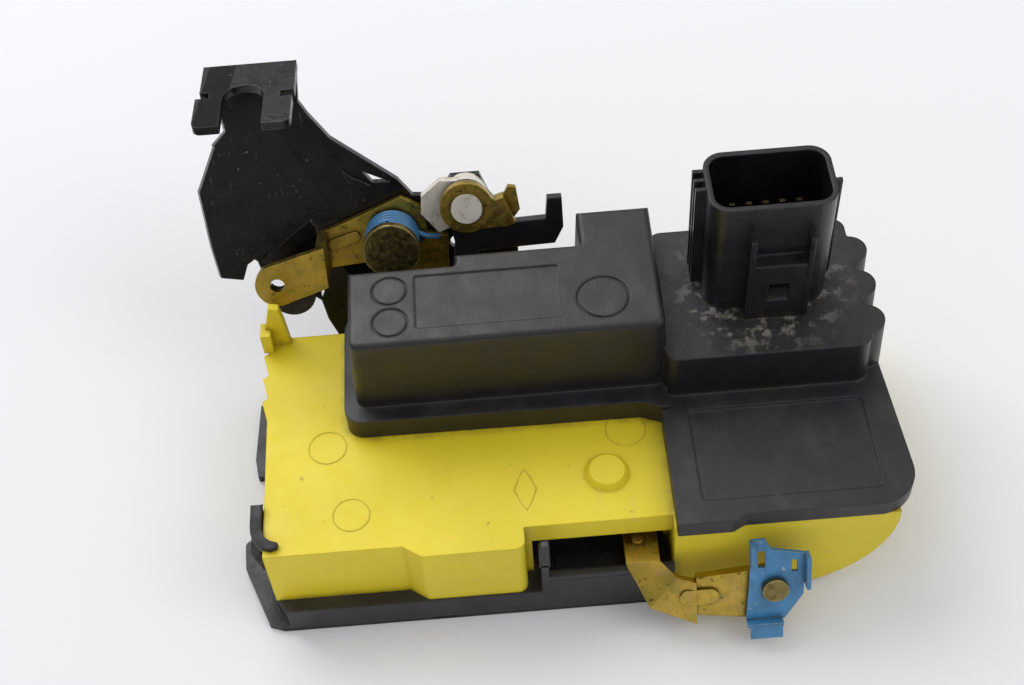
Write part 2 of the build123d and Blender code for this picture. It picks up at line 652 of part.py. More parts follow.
# Claw and pawl springs: coils round the pins above the base
def torsion_coil(base, centre, radius, wire, turns):
    """Close coil of round wire that stands on a plane round a centre drawn on it."""
    pitch = wire + 0.15
    start = base.from_local_coords(Vector(centre[0], centre[1], wire / 2))
    with BuildPart() as coil:
        with BuildLine() as path:
            Helix(pitch=pitch, height=turns * pitch, radius=radius, center=start,
                  direction=base.z_dir)
        with BuildSketch(Plane(origin=path.line @ 0, z_dir=path.line % 0)):
            Circle(wire / 2)
        sweep(is_frenet=True)
    return coil


claw_spring = torsion_coil(level(BASE_TOP), CLAW_PIVOT, CLAW_PIN_R + 1.2, 1.4, 3)
finish(claw_spring, "claw_spring")
pawl_spring = torsion_coil(level(BASE_TOP), PAWL_PIVOT, PAWL_PIN_R + 1.0, 1.0, 2.5)
finish(pawl_spring, "pawl_spring")

# Outer release lever: plate on its pivot, strap through the slot, sloped web and arm
ARM_UP = (0.0, sin(radians(ARM_TILT)), cos(radians(ARM_TILT)))
ARM_OUT = (0.0, -cos(radians(ARM_TILT)), sin(radians(ARM_TILT)))


def arm_plane(out=0.0):
    """Plane of the arm's front face through the clip pin, moved out by a distance."""
    x, y, z = CLIP_PIN
    return Plane(origin=(LEFT + x, FRONT + y + out * ARM_OUT[1], z + out * ARM_OUT[2]),
                 x_dir=(1, 0, 0), z_dir=ARM_OUT)


STRAP_FRONT = 0.5
WEB_MIDDLE = (85.4, -4.2, 12.6)
ARM_START_X = 92.0
with BuildPart() as outer_release_lever:
    with BuildSketch(level(LEVER_LOW)):
        with Locations(LEVER_PIVOT):
            Circle(7.0)
        with BuildLine():
            Polyline((LEVER_PIVOT[0] - 3, LEVER_PIVOT[1] - 6.2), (STRAP_LEFT, 12.0),
                     (STRAP_LEFT, STRAP_FRONT), (STRAP_LEFT + STRAP_WIDTH, STRAP_FRONT),
                     (STRAP_LEFT + STRAP_WIDTH, 12.0), (LEVER_PIVOT[0] + 6.4, LEVER_PIVOT[1] + 3),
                     close=True)
        make_face()
        with Locations(LEVER_PIVOT):
            Circle(LEVER_PIN_R + RUN, mode=Mode.SUBTRACT)
    extrude(amount=SHEET)
    # Web: the strap's end turns down and round into the arm
    with BuildSketch(Plane(origin=(LEFT + STRAP_LEFT + STRAP_WIDTH / 2, FRONT + STRAP_FRONT,
                                   LEVER_LOW + SHEET / 2), x_dir=(1, 0, 0), z_dir=(0, -1, 0))):
        Rectangle(STRAP_WIDTH, SHEET)
    with BuildSketch(Plane(origin=(LEFT + WEB_MIDDLE[0], FRONT + WEB_MIDDLE[1], WEB_MIDDLE[2]),
                           x_dir=(0.62, 0.3, 0.73), z_dir=(0.66, -0.68, -0.28))):
        Rectangle(STRAP_WIDTH + 2.4, SHEET)
    with BuildSketch(Plane(origin=(LEFT + ARM_START_X, FRONT + CLIP_PIN[1] - 1.9 - ARM_OUT[1] * 1.0,
                                   CLIP_PIN[2] - 3.0), x_dir=ARM_UP, z_dir=(1, 0, 0))):
        Rectangle(STRAP_WIDTH + 3.6, SHEET)
    loft(ruled=True)
    # Arm with its rounded end
    with BuildSketch(arm_plane()):
        with BuildLine():
            Polyline((ARM_START_X - CLIP_PIN[0], 3.2), (ARM_START_X - CLIP_PIN[0], -6.6),
                     (-4.0, -8.6), (2.0, -7.4), (5.4, -3.0), (4.8, 1.8), (1.0, 4.4),
                     (-4.0, 4.2), close=True)
        make_face()
        fillet(vertices().group_by(Axis.X)[-1], radius=2.0)
        Circle(CLIP_PIN_R + SEAT, mode=Mode.SUBTRACT)
    extrude(amount=-SHEET)
finish(outer_release_lever, "outer_release_lever")

# Lever hub and finger: the lower arm that pushes the pawl's stud
FINGER_LOW = 11.2
with BuildPart() as release_finger:
    with BuildSketch(level(BASE_TOP + 1.6 + GAP)):
        with Locations(LEVER_PIVOT):
            Circle(5.0)
    extrude(amount=LEVER_LOW - BASE_TOP - 1.6 - GAP)
    with BuildSketch(level(FINGER_LOW)):
        with Locations(LEVER_PIVOT):
            Circle(5.0)
        with BuildLine():
            Polyline((LEVER_PIVOT[0] - 4.6, LEVER_PIVOT[1] + 2), (LEVER_PIVOT[0] - 2, LEVER_PIVOT[1] - 4),
                     (56.0, 37.0), (53.4, 39.6), (54.0, 41.4), (58.6, 41.4), close=True)
        make_face()
    extrude(amount=SHEET)
    with BuildSketch(level(BASE_TOP)):
        with Locations(LEVER_PIVOT):
            Circle(LEVER_PIN_R + RUN)
    extrude(amount=10, mode=Mode.SUBTRACT)
finish(release_finger, "release_finger")

# Outer lever pin
with BuildPart() as outer_lever_pin:
    with BuildSketch(level(SHEET)):
        with Locations(LEVER_PIVOT):
            Circle(LEVER_PIN_R)
    extrude(amount=LEVER_LOW + SHEET + GAP - SHEET)
    with BuildSketch(level(LEVER_LOW + SHEET + GAP)):
        with Locations(LEVER_PIVOT):
            Circle(LEVER_PIN_R + 1.8)
    extrude(amount=1.4)
finish(outer_lever_pin, "outer_lever_pin")

# Rod clip: folded sheet on the arm, with two slots, side wings and a lower tongue
CLIP_GAP = 0.3
CLIP_SHEET = 0.9
with BuildPart() as rod_clip:
    with BuildSketch(arm_plane(CLIP_GAP)):
        with BuildLine():
            Polyline((-5.0, 12.6), (-2.2, 12.6), (-0.8, 10.0), (6.6, 8.4), (6.2, -2.2),
                     (2.2, -8.4), (-6.2, -8.0), (-5.6, 0.0), close=True)
        make_face()
        Circle(CLIP_PIN_R + RUN, mode=Mode.SUBTRACT)
        with Locations((-2.9, 7.6)):
            Rectangle(1.6, 4.4, mode=Mode.SUBTRACT)
        with Locations((4.2, 5.4)):
            Rectangle(1.3, 3.2, mode=Mode.SUBTRACT)
    extrude(amount=CLIP_SHEET)
    # Folded wings and tongue stand forward of the face
    with BuildSketch(arm_plane(CLIP_GAP)):
        with Locations((6.9, 4.4)):
            Rectangle(CLIP_SHEET, 8.0)
        with Locations((-5.0, 9.6)):
            Rectangle(CLIP_SHEET, 5.6)
    extrude(amount=3.2)
    with BuildSketch(arm_plane(CLIP_GAP)):
        with Locations((-2.2, -8.6)):
            Rectangle(7.8, CLIP_SHEET)
    extrude(amount=2.8)
    with BuildSketch(arm_plane(CLIP_GAP + 2.0)):
        with Locations((-2.0, -10.4)):
            Rectangle(7.0, 3.2)
    extrude(amount=CLIP_SHEET)
finish(rod_clip, "rod_clip")

# Clip pin, riveted in the arm
with BuildPart() as rod_clip_pin:
    with BuildSketch(arm_plane(-SHEET)):
        Circle(CLIP_PIN_R)
    extrude(amount=SHEET + CLIP_GAP + CLIP_SHEET + 0.25)
    with BuildSketch(arm_plane(CLIP_GAP + CLIP_SHEET + 0.25)):
        Circle(CLIP_PIN_HEAD_R)
    extrude(amount=1.1)
finish(rod_clip_pin, "rod_clip_pin")

# Cable bracket: foot, leaning wall, folded wing and the flange with the cable slot
lean = radians(WALL_LEAN)
FOOT_TOP = 2 * SHEET
FOOT_S = FOOT_TOP / cos(lean)
FOOT_Y = WALL_Y + FOOT_S * sin(lean)
FOLD = radians(WING_FOLD)
with BuildPart() as cable_bracket:
    with BuildSketch(wall()):
        with BuildLine():
            Polyline((-7.6, FLANGE_S), (13.4, FLANGE_S), (12.6, 76.2), (14.4, 73.0), (18.7, 66.9),
                     (33.1, 55.4), (36.2, 51.2), (42.0, 50.6), (45.4, 55.2), (52.2, 55.2),
                     (54.2, 50.0), (60.0, 42.4), (60.0, 34.0), (36.0, 26.0), (34.0, 18.0),
                     (34.0, FOOT_S - 1.8), (14.0, FOOT_S - 1.8), (14.6, 16.0), (12.6, 20.6),
                     (11.6, 25.7), (12.6, 28.0), CREASE_BOTTOM, CREASE_TOP, (-3.6, 72.0),
                     close=True)
        make_face()
        with BuildLine():
            Polyline((25.0, 58.2), (31.4, 55.0), (27.2, 55.2), close=True)
        make_face(mode=Mode.SUBTRACT)
        with Locations(INNER_PIVOT):
            Circle(INNER_PIN_R + SEAT, mode=Mode.SUBTRACT)
        with Locations(ROCKER_PIVOT):
            Circle(2.0 + SEAT, mode=Mode.SUBTRACT)
        with Locations((45.6, 38.4)):
            Circle(1.6, mode=Mode.SUBTRACT)
    extrude(amount=-SHEET)
    with BuildSketch(level(SHEET)):
        with Locations((24.0, FOOT_Y)):
            Rectangle(40.0, 20.0)
    extrude(amount=-2 * SHEET, mode=Mode.SUBTRACT)
    # Foot on the face plate
    with BuildSketch(level(SHEET)):
        with Locations((24.0, (FOOT_Y + FOOT_BACK) / 2)):
            Rectangle(20.0, FOOT_BACK - FOOT_Y)
        with Locations((18, 74), (30, 74)):
            Circle(2.0 + SEAT, mode=Mode.SUBTRACT)
    extrude(amount=SHEET)
    # Wing folded forward about the slanting crease
    crease_head = wall().from_local_coords(Vector(*CREASE_TOP))
    crease = (wall().from_local_coords(Vector(*CREASE_BOTTOM)) - crease_head).normalized()
    outward = Vector(0, -cos(lean), sin(lean))
    aside = crease.cross(outward).normalized()
    wing_out = aside * cos(FOLD) + outward * sin(FOLD)
    wing_face = Plane(origin=crease_head, x_dir=crease, z_dir=crease.cross(wing_out))
    with BuildSketch(wing_face):
        with BuildLine():
            Polyline((0, -1.0), (-1.9, 5.0), (-2.4, 7.8), (4.7, 17.6), (16.9, 22.7), (24.0, 25.1),
                     (27.6, 21.2), (25.2, 18.3), (25.2, 16.3), (26.6, 15.8), (25.6, -1.0),
                     close=True)
        make_face()
    extrude(amount=SHEET if wing_face.z_dir.dot(outward) < 0 else -SHEET)
    # Flange with the cable slot and the two side notches
    rise = radians(FLANGE_RISE)
    top = wall().from_local_coords(Vector(0, FLANGE_S, 0))
    with BuildSketch(Plane(origin=top, x_dir=(1, 0, 0), z_dir=(0, sin(rise), cos(rise)))):
        with BuildLine():
            Polyline((-7.6, SHEET), (-7.6, -8.6), (-5.4, -8.6), (-5.4, -10.8), (-8.4, -10.8),
                     (-8.4, -FLANGE_DEPTH), (13.0, -FLANGE_DEPTH), (13.0, -12.2), (10.4, -12.2),
                     (10.4, -9.8), (13.4, -9.8), (13.4, SHEET), close=True)
        make_face()
        fillet(vertices().group_by(Axis.Y)[0], radius=2.0)
        with Locations((2.2, -6.6 - CABLE_SLOT_WIDTH / 2)):
            Circle(CABLE_SLOT_WIDTH / 2, mode=Mode.SUBTRACT)
        with Locations((2.2, -6.6 - CABLE_SLOT_WIDTH / 2 - 10)):
            Rectangle(CABLE_SLOT_WIDTH, 20, mode=Mode.SUBTRACT)
    extrude(amount=-SHEET)
finish(cable_bracket, "cable_bracket")

# Bracket rivets
with BuildPart() as bracket_rivets:
    with BuildSketch(level(0)):
        with Locations((18, 74), (30, 74)):
            Circle(2.0)
    extrude(amount=2 * SHEET)
    with BuildSketch(level(2 * SHEET)):
        with Locations((18, 74), (30, 74)):
            Circle(3.4)
    extrude(amount=1.4, taper=20)
finish(bracket_rivets, "bracket_rivets")

# Inner release lever: round end with the rod hole, joggle, and the plate on the pivot
with BuildPart() as inner_release_lever:
    with BuildSketch(wall(INNER_BACK)):
        with BuildLine():
            Polyline((13.0, 34.2), (13.0, 44.2), (15.6, 45.0), (33.6, 52.0), (38.4, 48.8),
                     (39.0, 42.6), (43.8, 41.2), (43.0, 30.0), (40.0, 24.0), (36.4, 25.0),
                     (33.6, 34.4), (24.0, 36.0), (16.0, 35.4), close=True)
        make_face()
        with Locations(INNER_PIVOT):
            Circle(INNER_PIN_R + RUN, mode=Mode.SUBTRACT)
    extrude(amount=SHEET)
    with BuildSketch(wall(INNER_BACK)):
        with BuildLine():
            Polyline((13.0, 34.2), (13.0, 44.2), (15.2, 44.8), (15.2, 34.6), close=True)
        make_face()
    extrude(amount=INNER_FRONT + SHEET - INNER_BACK)
    with BuildSketch(wall(INNER_FRONT)):
        with Locations(ROD_HOLE):
            Circle(ROD_END_R)
        with BuildLine():
            Polyline((ROD_HOLE[0] - 0.6, ROD_HOLE[1] + ROD_END_R - 0.05), (15.2, 44.8), (15.2, 34.6),
                     (ROD_HOLE[0] + 0.6, ROD_HOLE[1] - ROD_END_R + 0.05), close=True)
        make_face()
        with Locations(ROD_HOLE):
            Circle(ROD_HOLE_R, mode=Mode.SUBTRACT)
    extrude(amount=SHEET)
finish(inner_release_lever, "inner_release_lever")

# Rubber buffer behind the lever's round end
with BuildPart() as lever_buffer:
    with BuildSketch(wall(INNER_FRONT - 2.2)):
        with Locations((6.4, 32.8)):
            Circle(5.4)
            with Locations((ROD_HOLE[0] - 6.4, ROD_HOLE[1] - 32.8)):
                Circle(ROD_HOLE_R + 0.4, mode=Mode.SUBTRACT)
    extrude(amount=2.2)
finish(lever_buffer, "lever_buffer")

# Inner lever pin with its broad head
with BuildPart() as inner_lever_pin:
    with BuildSketch(wall(-SHEET)):
        with Locations(INNER_PIVOT):
            Circle(INNER_PIN_R)
    extrude(amount=SHEET + HEAD_BACK)
    with BuildSketch(wall(HEAD_BACK)):
        with Locations(INNER_PIVOT):
            Circle(INNER_HEAD_R)
    extrude(amount=1.8)
    with BuildSketch(wall(-SHEET)):
        with Locations(INNER_PIVOT):
            Circle(INNER_PIN_R + 1.4)
    extrude(amount=-1.0)
    fillet(inner_lever_pin.faces().sort_by(Axis.Z)[-1].edges(), radius=0.4)
finish(inner_lever_pin, "inner_lever_pin")

# Inner lever spring: blue coil behind the head
inner_lever_spring = torsion_coil(wall(INNER_BACK + SHEET), INNER_PIVOT,
                                  SPRING_R - SPRING_WIRE / 2, SPRING_WIRE, SPRING_TURNS)
finish(inner_lever_spring, "inner_lever_spring")

# Rocker bush: white moulding fixed to the wall, with the boss that the rocker turns on
ARM_LOW = BUSH_LOW + BUSH_THICK + GAP
ROCKER_LOW = ARM_LOW + ARM_THICK
BOSS_TOP = ROCKER_LOW + SHEET + 0.7
with BuildPart() as rocker_bush:
    with BuildSketch(wall(-SHEET)):
        with Locations(ROCKER_PIVOT):
            Circle(2.0)
    extrude(amount=SHEET)
    with BuildSketch(wall(0)):
        with Locations(ROCKER_PIVOT):
            Circle(4.6)
    extrude(amount=BUSH_LOW)
    with BuildSketch(wall(BUSH_LOW)):
        with Locations(ROCKER_PIVOT):
            Circle(5.2)
        with BuildLine():
            Polyline((48.0, 56.0), (43.0, 56.4), (38.4, 52.8), (38.0, 48.6), (41.8, 43.6),
                     (44.6, 44.6), (48.0, 46.4), close=True)
        make_face()
    extrude(amount=BUSH_THICK)
    with BuildSketch(wall(BUSH_LOW)):
        with Locations(ROCKER_PIVOT):
            Circle(BOSS_R)
    extrude(amount=BOSS_TOP - BUSH_LOW)
finish(rocker_bush, "rocker_bush")

# Lock rocker: plated ring with a folded tail
with BuildPart() as lock_rocker:
    with BuildSketch(wall(ROCKER_LOW)):
        with Locations(ROCKER_PIVOT):
            Circle(RING_R)
        with BuildLine():
            Polyline((50.4, 57.0), (55.4, 52.6), (57.8, 46.0), (46.8, 45.6), close=True)
        make_face()
        with Locations(ROCKER_PIVOT):
            Circle(BOSS_R + RUN, mode=Mode.SUBTRACT)
    extrude(amount=SHEET)
    with BuildSketch(wall(ROCKER_LOW - 1.4)):
        with BuildLine():
            Polyline((55.4, 52.6), (57.4, 53.2), (59.8, 46.6), (57.8, 46.0), close=True)
        make_face()
    extrude(amount=SHEET + 1.4)
    with BuildSketch(wall(ROCKER_LOW - 1.4)):
        with BuildLine():
            Polyline((57.0, 52.0), (58.6, 55.0), (60.4, 54.6), (61.0, 49.0), (59.4, 47.0), close=True)
        make_face()
    extrude(amount=1.4)
finish(lock_rocker, "lock_rocker")

# Lock arm: black arm with the upturned hook and the finger that the slider moves
FINGER_S = height_on_wall(TAIL_LOW - 0.8, ARM_LOW)
FINGER_ANGLE = radians(ROCKER_TILT)
finger_x = ROCKER_PIVOT[0] - (ROCKER_PIVOT[1] - FINGER_S) * tan(FINGER_ANGLE)
half = FINGER_WIDTH / 2
with BuildPart() as lock_arm:
    with BuildSketch(wall(ARM_LOW)):
        with Locations(ROCKER_PIVOT):
            Circle(5.4)
        with BuildLine():
            Polyline((ROCKER_PIVOT[0] - 5, 50.0), (ROCKER_PIVOT[0] - 3.4, 42.0),
                     (finger_x - half, FINGER_S), (finger_x + half, FINGER_S),
                     (ROCKER_PIVOT[0] + 2.0, 39.4), (68.6, 39.8), (70.8, 43.8), (70.8, 51.2),
                     (67.4, 51.2), (66.8, 46.2), (54.0, 45.8), (ROCKER_PIVOT[0] + 5, 50.0),
                     close=True)
        make_face()
        with Locations(ROCKER_PIVOT):
            Circle(BOSS_R + RUN, mode=Mode.SUBTRACT)
    extrude(amount=ARM_THICK)
finish(lock_arm, "lock_arm")

# Motor: flat-sided can, end cap and shaft
with BuildPart() as motor_case:
    with BuildSketch(side(MOTOR_LEFT)):
        with Locations((SHAFT_Y, SHAFT_Z)):
            Circle(MOTOR_HIGH / 2)
            Rectangle(MOTOR_WIDE, MOTOR_HIGH, mode=Mode.INTERSECT)
    extrude(amount=MOTOR_LENGTH - 2.4)
    with BuildSketch(side(MOTOR_LEFT)):
        with Locations((SHAFT_Y, SHAFT_Z)):
            Circle(SHAFT_R + RUN)
    extrude(amount=MOTOR_LENGTH, mode=Mode.SUBTRACT)
finish(motor_case, "motor_case")

with BuildPart() as motor_end_cap:
    with BuildSketch(side(MOTOR_LEFT + MOTOR_LENGTH - 2.4)):
        with Locations((SHAFT_Y, SHAFT_Z)):
            Circle(MOTOR_HIGH / 2 - 0.8)
            Rectangle(MOTOR_WIDE - 1.2, MOTOR_HIGH, mode=Mode.INTERSECT)
            Circle(SHAFT_R + RUN, mode=Mode.SUBTRACT)
    extrude(amount=2.4)
    with BuildSketch(side(MOTOR_LEFT + MOTOR_LENGTH)):
        with Locations((SHAFT_Y, SHAFT_Z)):
            Circle(3.0)
            Circle(SHAFT_R + RUN, mode=Mode.SUBTRACT)
    extrude(amount=1.4)
finish(motor_end_cap, "motor_end_cap")

with BuildPart() as motor_shaft:
    with BuildSketch(side(MOTOR_LEFT + 2)):
        with Locations((SHAFT_Y, SHAFT_Z)):
            Circle(SHAFT_R)
    extrude(amount=81.5 - MOTOR_LEFT - 2)
finish(motor_shaft, "motor_shaft")

# Worm with turned grooves
WORM_GROOVES = 6
with BuildPart() as worm:
    with BuildSketch(side(WORM_LEFT)):
        with Locations((SHAFT_Y, SHAFT_Z)):
            Circle(WORM_R)
            Circle(SHAFT_R + SEAT, mode=Mode.SUBTRACT)
    extrude(amount=WORM_LENGTH)
    for groove in range(WORM_GROOVES):
        x = WORM_LEFT + 1.6 + groove * (WORM_LENGTH - 3.2) / (WORM_GROOVES - 1) - 0.6
        with BuildSketch(side(x)):
            with Locations((SHAFT_Y, SHAFT_Z)):
                Circle(WORM_R + 1)
                Circle(WORM_R - 0.8, mode=Mode.SUBTRACT)
        extrude(amount=1.2, mode=Mode.SUBTRACT)
finish(worm, "worm")


# Worm wheel with its pinion
def toothed_disc(centre, tip, root, teeth):
    """Disc with straight-flanked teeth, drawn in the current sketch."""
    with Locations(centre):
        Circle(root)
        with PolarLocations((root + tip) / 2 - 0.2, teeth):
            Rectangle(tip - root + 0.4, 1.5 * (root + tip) / teeth, align=Align.CENTER)


with BuildPart() as worm_wheel:
    with BuildSketch(front(44.0)):
        toothed_disc((WHEEL_X, WHEEL_Z), WHEEL_R, WHEEL_R - 1.4, WHEEL_TEETH)
    extrude(amount=-6.0)
    with BuildSketch(front(50.0)):
        toothed_disc((WHEEL_X, WHEEL_Z), PINION_R, PINION_R - 1.4, PINION_TEETH)
    extrude(amount=-5.6)
    with BuildSketch(front(43.0)):
        with Locations((WHEEL_X, WHEEL_Z)):
            Circle(AXLE_R + RUN)
    extrude(amount=-14, mode=Mode.SUBTRACT)
finish(worm_wheel, "worm_wheel")

with BuildPart() as wheel_axle:
    with BuildSketch(front(41.6)):
        with Locations((WHEEL_X, WHEEL_Z)):
            Circle(AXLE_R)
    extrude(amount=-17.4)
finish(wheel_axle, "wheel_axle")

# Lock slider: rack under the pinion, with the forked tail that reaches the finger
SLIDER_LOW = SLIDER_TOP - SLIDER_THICK
fork_out = ARM_LOW + ARM_THICK / 2
fork_s = height_on_wall(TAIL_LOW + TAIL_THICK / 2, fork_out)
fork_y = WALL_Y + fork_s * sin(lean) - fork_out * cos(lean)
fork_x = ROCKER_PIVOT[0] - (ROCKER_PIVOT[1] - fork_s) * tan(FINGER_ANGLE)
fork_half = FINGER_WIDTH / 2 + FORK_GAP
with BuildPart() as lock_slider:
    with BuildSketch(level(SLIDER_LOW)):
        with BuildLine():
            Polyline((fork_x - 5.4, 50.6), (72.0, 50.6), (72.0, 55.4), (fork_x - 5.4, 55.4),
                     close=True)
        make_face()
    extrude(amount=SLIDER_THICK)
    with BuildSketch(level(TAIL_LOW)):
        with BuildLine():
            Polyline((fork_x - 5.4, 51.0), (fork_x + 5.4, 51.0), (fork_x + 5.4, fork_y + 2.4),
                     (fork_x + fork_half, fork_y + 2.4), (fork_x + fork_half, fork_y - 3.0),
                     (fork_x - fork_half, fork_y - 3.0), (fork_x - fork_half, fork_y + 2.4),
                     (fork_x - 5.4, fork_y + 2.4), close=True)
        make_face()
    extrude(amount=TAIL_THICK)
    with BuildSketch(front(50.0)):
        for tooth in range(RACK_TEETH):
            with Locations((WHEEL_X - 15.0 + tooth * RACK_PITCH, SLIDER_TOP)):
                Rectangle(RACK_PITCH / 2, 1.6)
    extrude(amount=-6, mode=Mode.SUBTRACT)
finish(lock_slider, "lock_slider")

# Slider rails on the base
with BuildPart() as slider_rails:
    with BuildSketch(level(BASE_TOP)):
        with Locations((76.0, 53.0)):
            Rectangle(18.0, 3.6)
        with Locations((41.0, 53.0)):
            Rectangle(12.0, 3.6)
    extrude(amount=SLIDER_LOW - BASE_TOP)
finish(slider_rails, "slider_rails")

# Micro-switches on the base
with BuildPart() as micro_switches:
    with BuildSketch(level(BASE_TOP)):
        with Locations((10.0, 34.0), (64.0, 16.0)):
            Rectangle(8.2, 5.6)
    extrude(amount=6.4)
    with BuildSketch(level(BASE_TOP + 6.4)):
        with Locations((8.4, 34.0), (62.4, 16.0)):
            Circle(0.9)
    extrude(amount=0.8)
finish(micro_switches, "micro_switches")
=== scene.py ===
import math

import bmesh
import bpy
from mathutils import Matrix, Vector


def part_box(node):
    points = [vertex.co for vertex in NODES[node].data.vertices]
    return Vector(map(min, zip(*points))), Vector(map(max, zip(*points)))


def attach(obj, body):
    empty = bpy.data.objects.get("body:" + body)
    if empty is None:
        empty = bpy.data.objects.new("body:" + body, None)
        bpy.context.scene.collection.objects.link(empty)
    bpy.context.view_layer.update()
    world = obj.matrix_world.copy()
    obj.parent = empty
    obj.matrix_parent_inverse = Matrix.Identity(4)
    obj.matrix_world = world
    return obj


bl_info = {
    "name": "Car door lock",
    "version": (1, 0, 0),
    "blender": (4, 5, 0),
    "location": "View3D > Sidebar > Door Lock",
    "description": "Dresses a car door lock: moulded housings, plated levers and a photo table",
    "category": "Object",
}

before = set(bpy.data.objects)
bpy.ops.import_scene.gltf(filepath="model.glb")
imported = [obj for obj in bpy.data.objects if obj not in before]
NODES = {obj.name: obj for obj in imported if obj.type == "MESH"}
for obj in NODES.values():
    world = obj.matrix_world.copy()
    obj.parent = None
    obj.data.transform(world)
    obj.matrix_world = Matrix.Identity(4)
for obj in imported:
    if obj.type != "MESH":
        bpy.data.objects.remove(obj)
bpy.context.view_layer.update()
MM = 0.001

# The housing's front left corner lies here from the origin, in millimetres
CORNER = (-52.0, -9.0)
DECK_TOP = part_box("actuator_cover")[0][2] / MM
BLOCK_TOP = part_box("connector_shroud")[0][2] / MM

# The bracket's wall leans back, and its front face meets the ground at this depth
WALL_Y = 66.0
WALL_LEAN = math.radians(24.0)
SHEET = 2.0

# Its wing folds forward along a crease, given on the wall by X and the way up
WING_FOLD = math.radians(25.0)
CREASE_HEAD = (-3.5, 79.0)
CREASE_END = (12.8, 45.0)

# The narrow facet of that bend: a point of its edge in X and height, its direction and width
FACET_EDGE = (12.8, 41.1)
FACET_ACROSS = (0.886, 0.464)
FACET_WIDTH = 5.3

# The outer lever's arm: its pin, and how far its face looks up
CLIP_PIN = (108.8, -5.2, 14.0)
ARM_TILT = math.radians(24.0)

# The table's radius in metres, and the light that the sky gives from below and from above
TABLE_RADIUS = 0.6
SKY_BELOW, SKY_ABOVE = 0.16, 0.72

# Each lamp's name, place and side in metres, and power in watts; all aim at one point
LAMPS = (("window", (-0.35, 0.55, 0.75), 0.7, 5.4), ("fill", (0.7, -0.3, 0.8), 0.6, 1.8))
LAMP_AIM = Vector((0, 0.02, 0.02))

# Where the camera stands over the table in metres, and its lens and sensor in millimetres
CAMERA_FOOT = (0.0047, -0.1786)
CAMERA_LENS = 55.86
CAMERA_SENSOR = 36.0


def linear(code):
    """Turn an sRGB hex value into the linear colour that the shaders take."""
    channels = [int(code[place:place + 2], 16) / 255 for place in (1, 3, 5)]
    return [c / 12.92 if c <= 0.04045 else ((c + 0.055) / 1.055) ** 2.4 for c in channels]


def tint(name, description, code):
    """Colour property with its default given as an sRGB hex value."""
    return bpy.props.FloatVectorProperty(name=name, description=description, subtype="COLOR",
                                         size=3, min=0, max=1, default=linear(code))


def length(name, description, millimetres):
    """Length property with its default given in millimetres."""
    return bpy.props.FloatProperty(name=name, description=description, subtype="DISTANCE",
                                   unit="LENGTH", default=millimetres * MM, min=0)


def angle(name, description, degrees):
    """Angle property with its default given in degrees."""
    return bpy.props.FloatProperty(name=name, description=description, subtype="ANGLE",
                                   default=math.radians(degrees))


class LockColours(bpy.types.PropertyGroup):
    """Colours of the lock's finishes."""
    yellow: tint("Yellow moulding", "Body colour of the actuator housing", "#E3CE24")
    black: tint("Black moulding", "Body colour of the cover, base and plug socket", "#161419")
    coat: tint("Black coat", "Dipped coat of the bracket and face plate", "#0D0C0D")
    gold: tint("Yellow zinc", "Chromated plating of the levers", "#C4A64A")
    steel: tint("Bright zinc", "Plating of pins, rivets and works", "#B7B2A6")
    clip: tint("Clip blue", "Coat of the rod clip", "#3C80B0")
    wire: tint("Spring blue", "Coat of the lever's coil spring", "#3A78A8")
    bush: tint("White moulding", "Bush on the bracket wall", "#D9D4C8")
    rubber: tint("Rubber", "Lip and buffer", "#1B1B1C")
    nylon: tint("Natural nylon", "Worm, worm wheel and slider", "#E6E0D0")
    head: tint("Pin heads", "Chromated heads under old grease", "#8E8050")
    brass: tint("Brass", "Tinned plug pins", "#6E6044")
    dust: tint("Dust", "Dry dust and grime", "#8F8674")


class LockSizes(bpy.types.PropertyGroup):
    """Sizes of the fine detail that the scene adds."""
    wire: length("Spring wire", "Thickness of the coil spring's wire", 1.3)
    mark: length("Mark height", "Height of the raised moulding marks", 0.14)
    mark_width: length("Mark width", "Width of the raised moulding marks", 0.28)
    rib: length("Rib height", "Height of the ribs pressed into the levers", 0.6)


class StageSettings(bpy.types.PropertyGroup):
    """Camera and table."""
    distance: length("Camera height", "Height of the camera over the table", 320.0)
    tilt: angle("Camera tilt", "Angle below the horizon", 52.39)
    roll: angle("Camera roll", "Turn about the line of sight", -4.65)
    table: tint("Table", "Pale table top", "#EEEEF1")


def add(tree, kind, values=None, links=None, **settings):
    """Add a node with its settings, socket values and incoming links."""
    node = tree.nodes.new(kind)
    for name, value in settings.items():
        setattr(node, name, value)
    for name, value in (values or {}).items():
        node.inputs[name].default_value = value
    for name, socket in (links or {}).items():
        tree.links.new(socket, node.inputs[name])
    return node


def start_material(name):
    """New node material with only its output, and the object's own coordinates."""
    material = bpy.data.materials.new(name)
    material.use_nodes = True
    tree = material.node_tree
    tree.nodes.clear()
    output = add(tree, "ShaderNodeOutputMaterial")
    place = add(tree, "ShaderNodeTexCoord").outputs["Object"]
    return material, tree, output, place


def surface(tree, output, values, body, gloss, skin, metal=None):
    """Principled surface with its constants, and its linked colour, roughness and normal."""
    links = {"Base Color": body, "Roughness": gloss, "Normal": skin}
    if metal is not None:
        links["Metallic"] = metal
    shader = add(tree, "ShaderNodeBsdfPrincipled", values, links)
    tree.links.new(shader.outputs[0], output.inputs["Surface"])


def grain(tree, place, size, detail=3.0, low=0.0, high=1.0):
    """Noise with features of a size in millimetres, spread between two values."""
    noise = add(tree, "ShaderNodeTexNoise", {"Scale": 1 / (size * MM), "Detail": detail},
                {"Vector": place})
    spread = add(tree, "ShaderNodeMapRange", {"From Min": 0.3, "From Max": 0.7, "To Min": low,
                                              "To Max": high},
                 {"Value": noise.outputs["Fac"]})
    return spread.outputs["Result"]


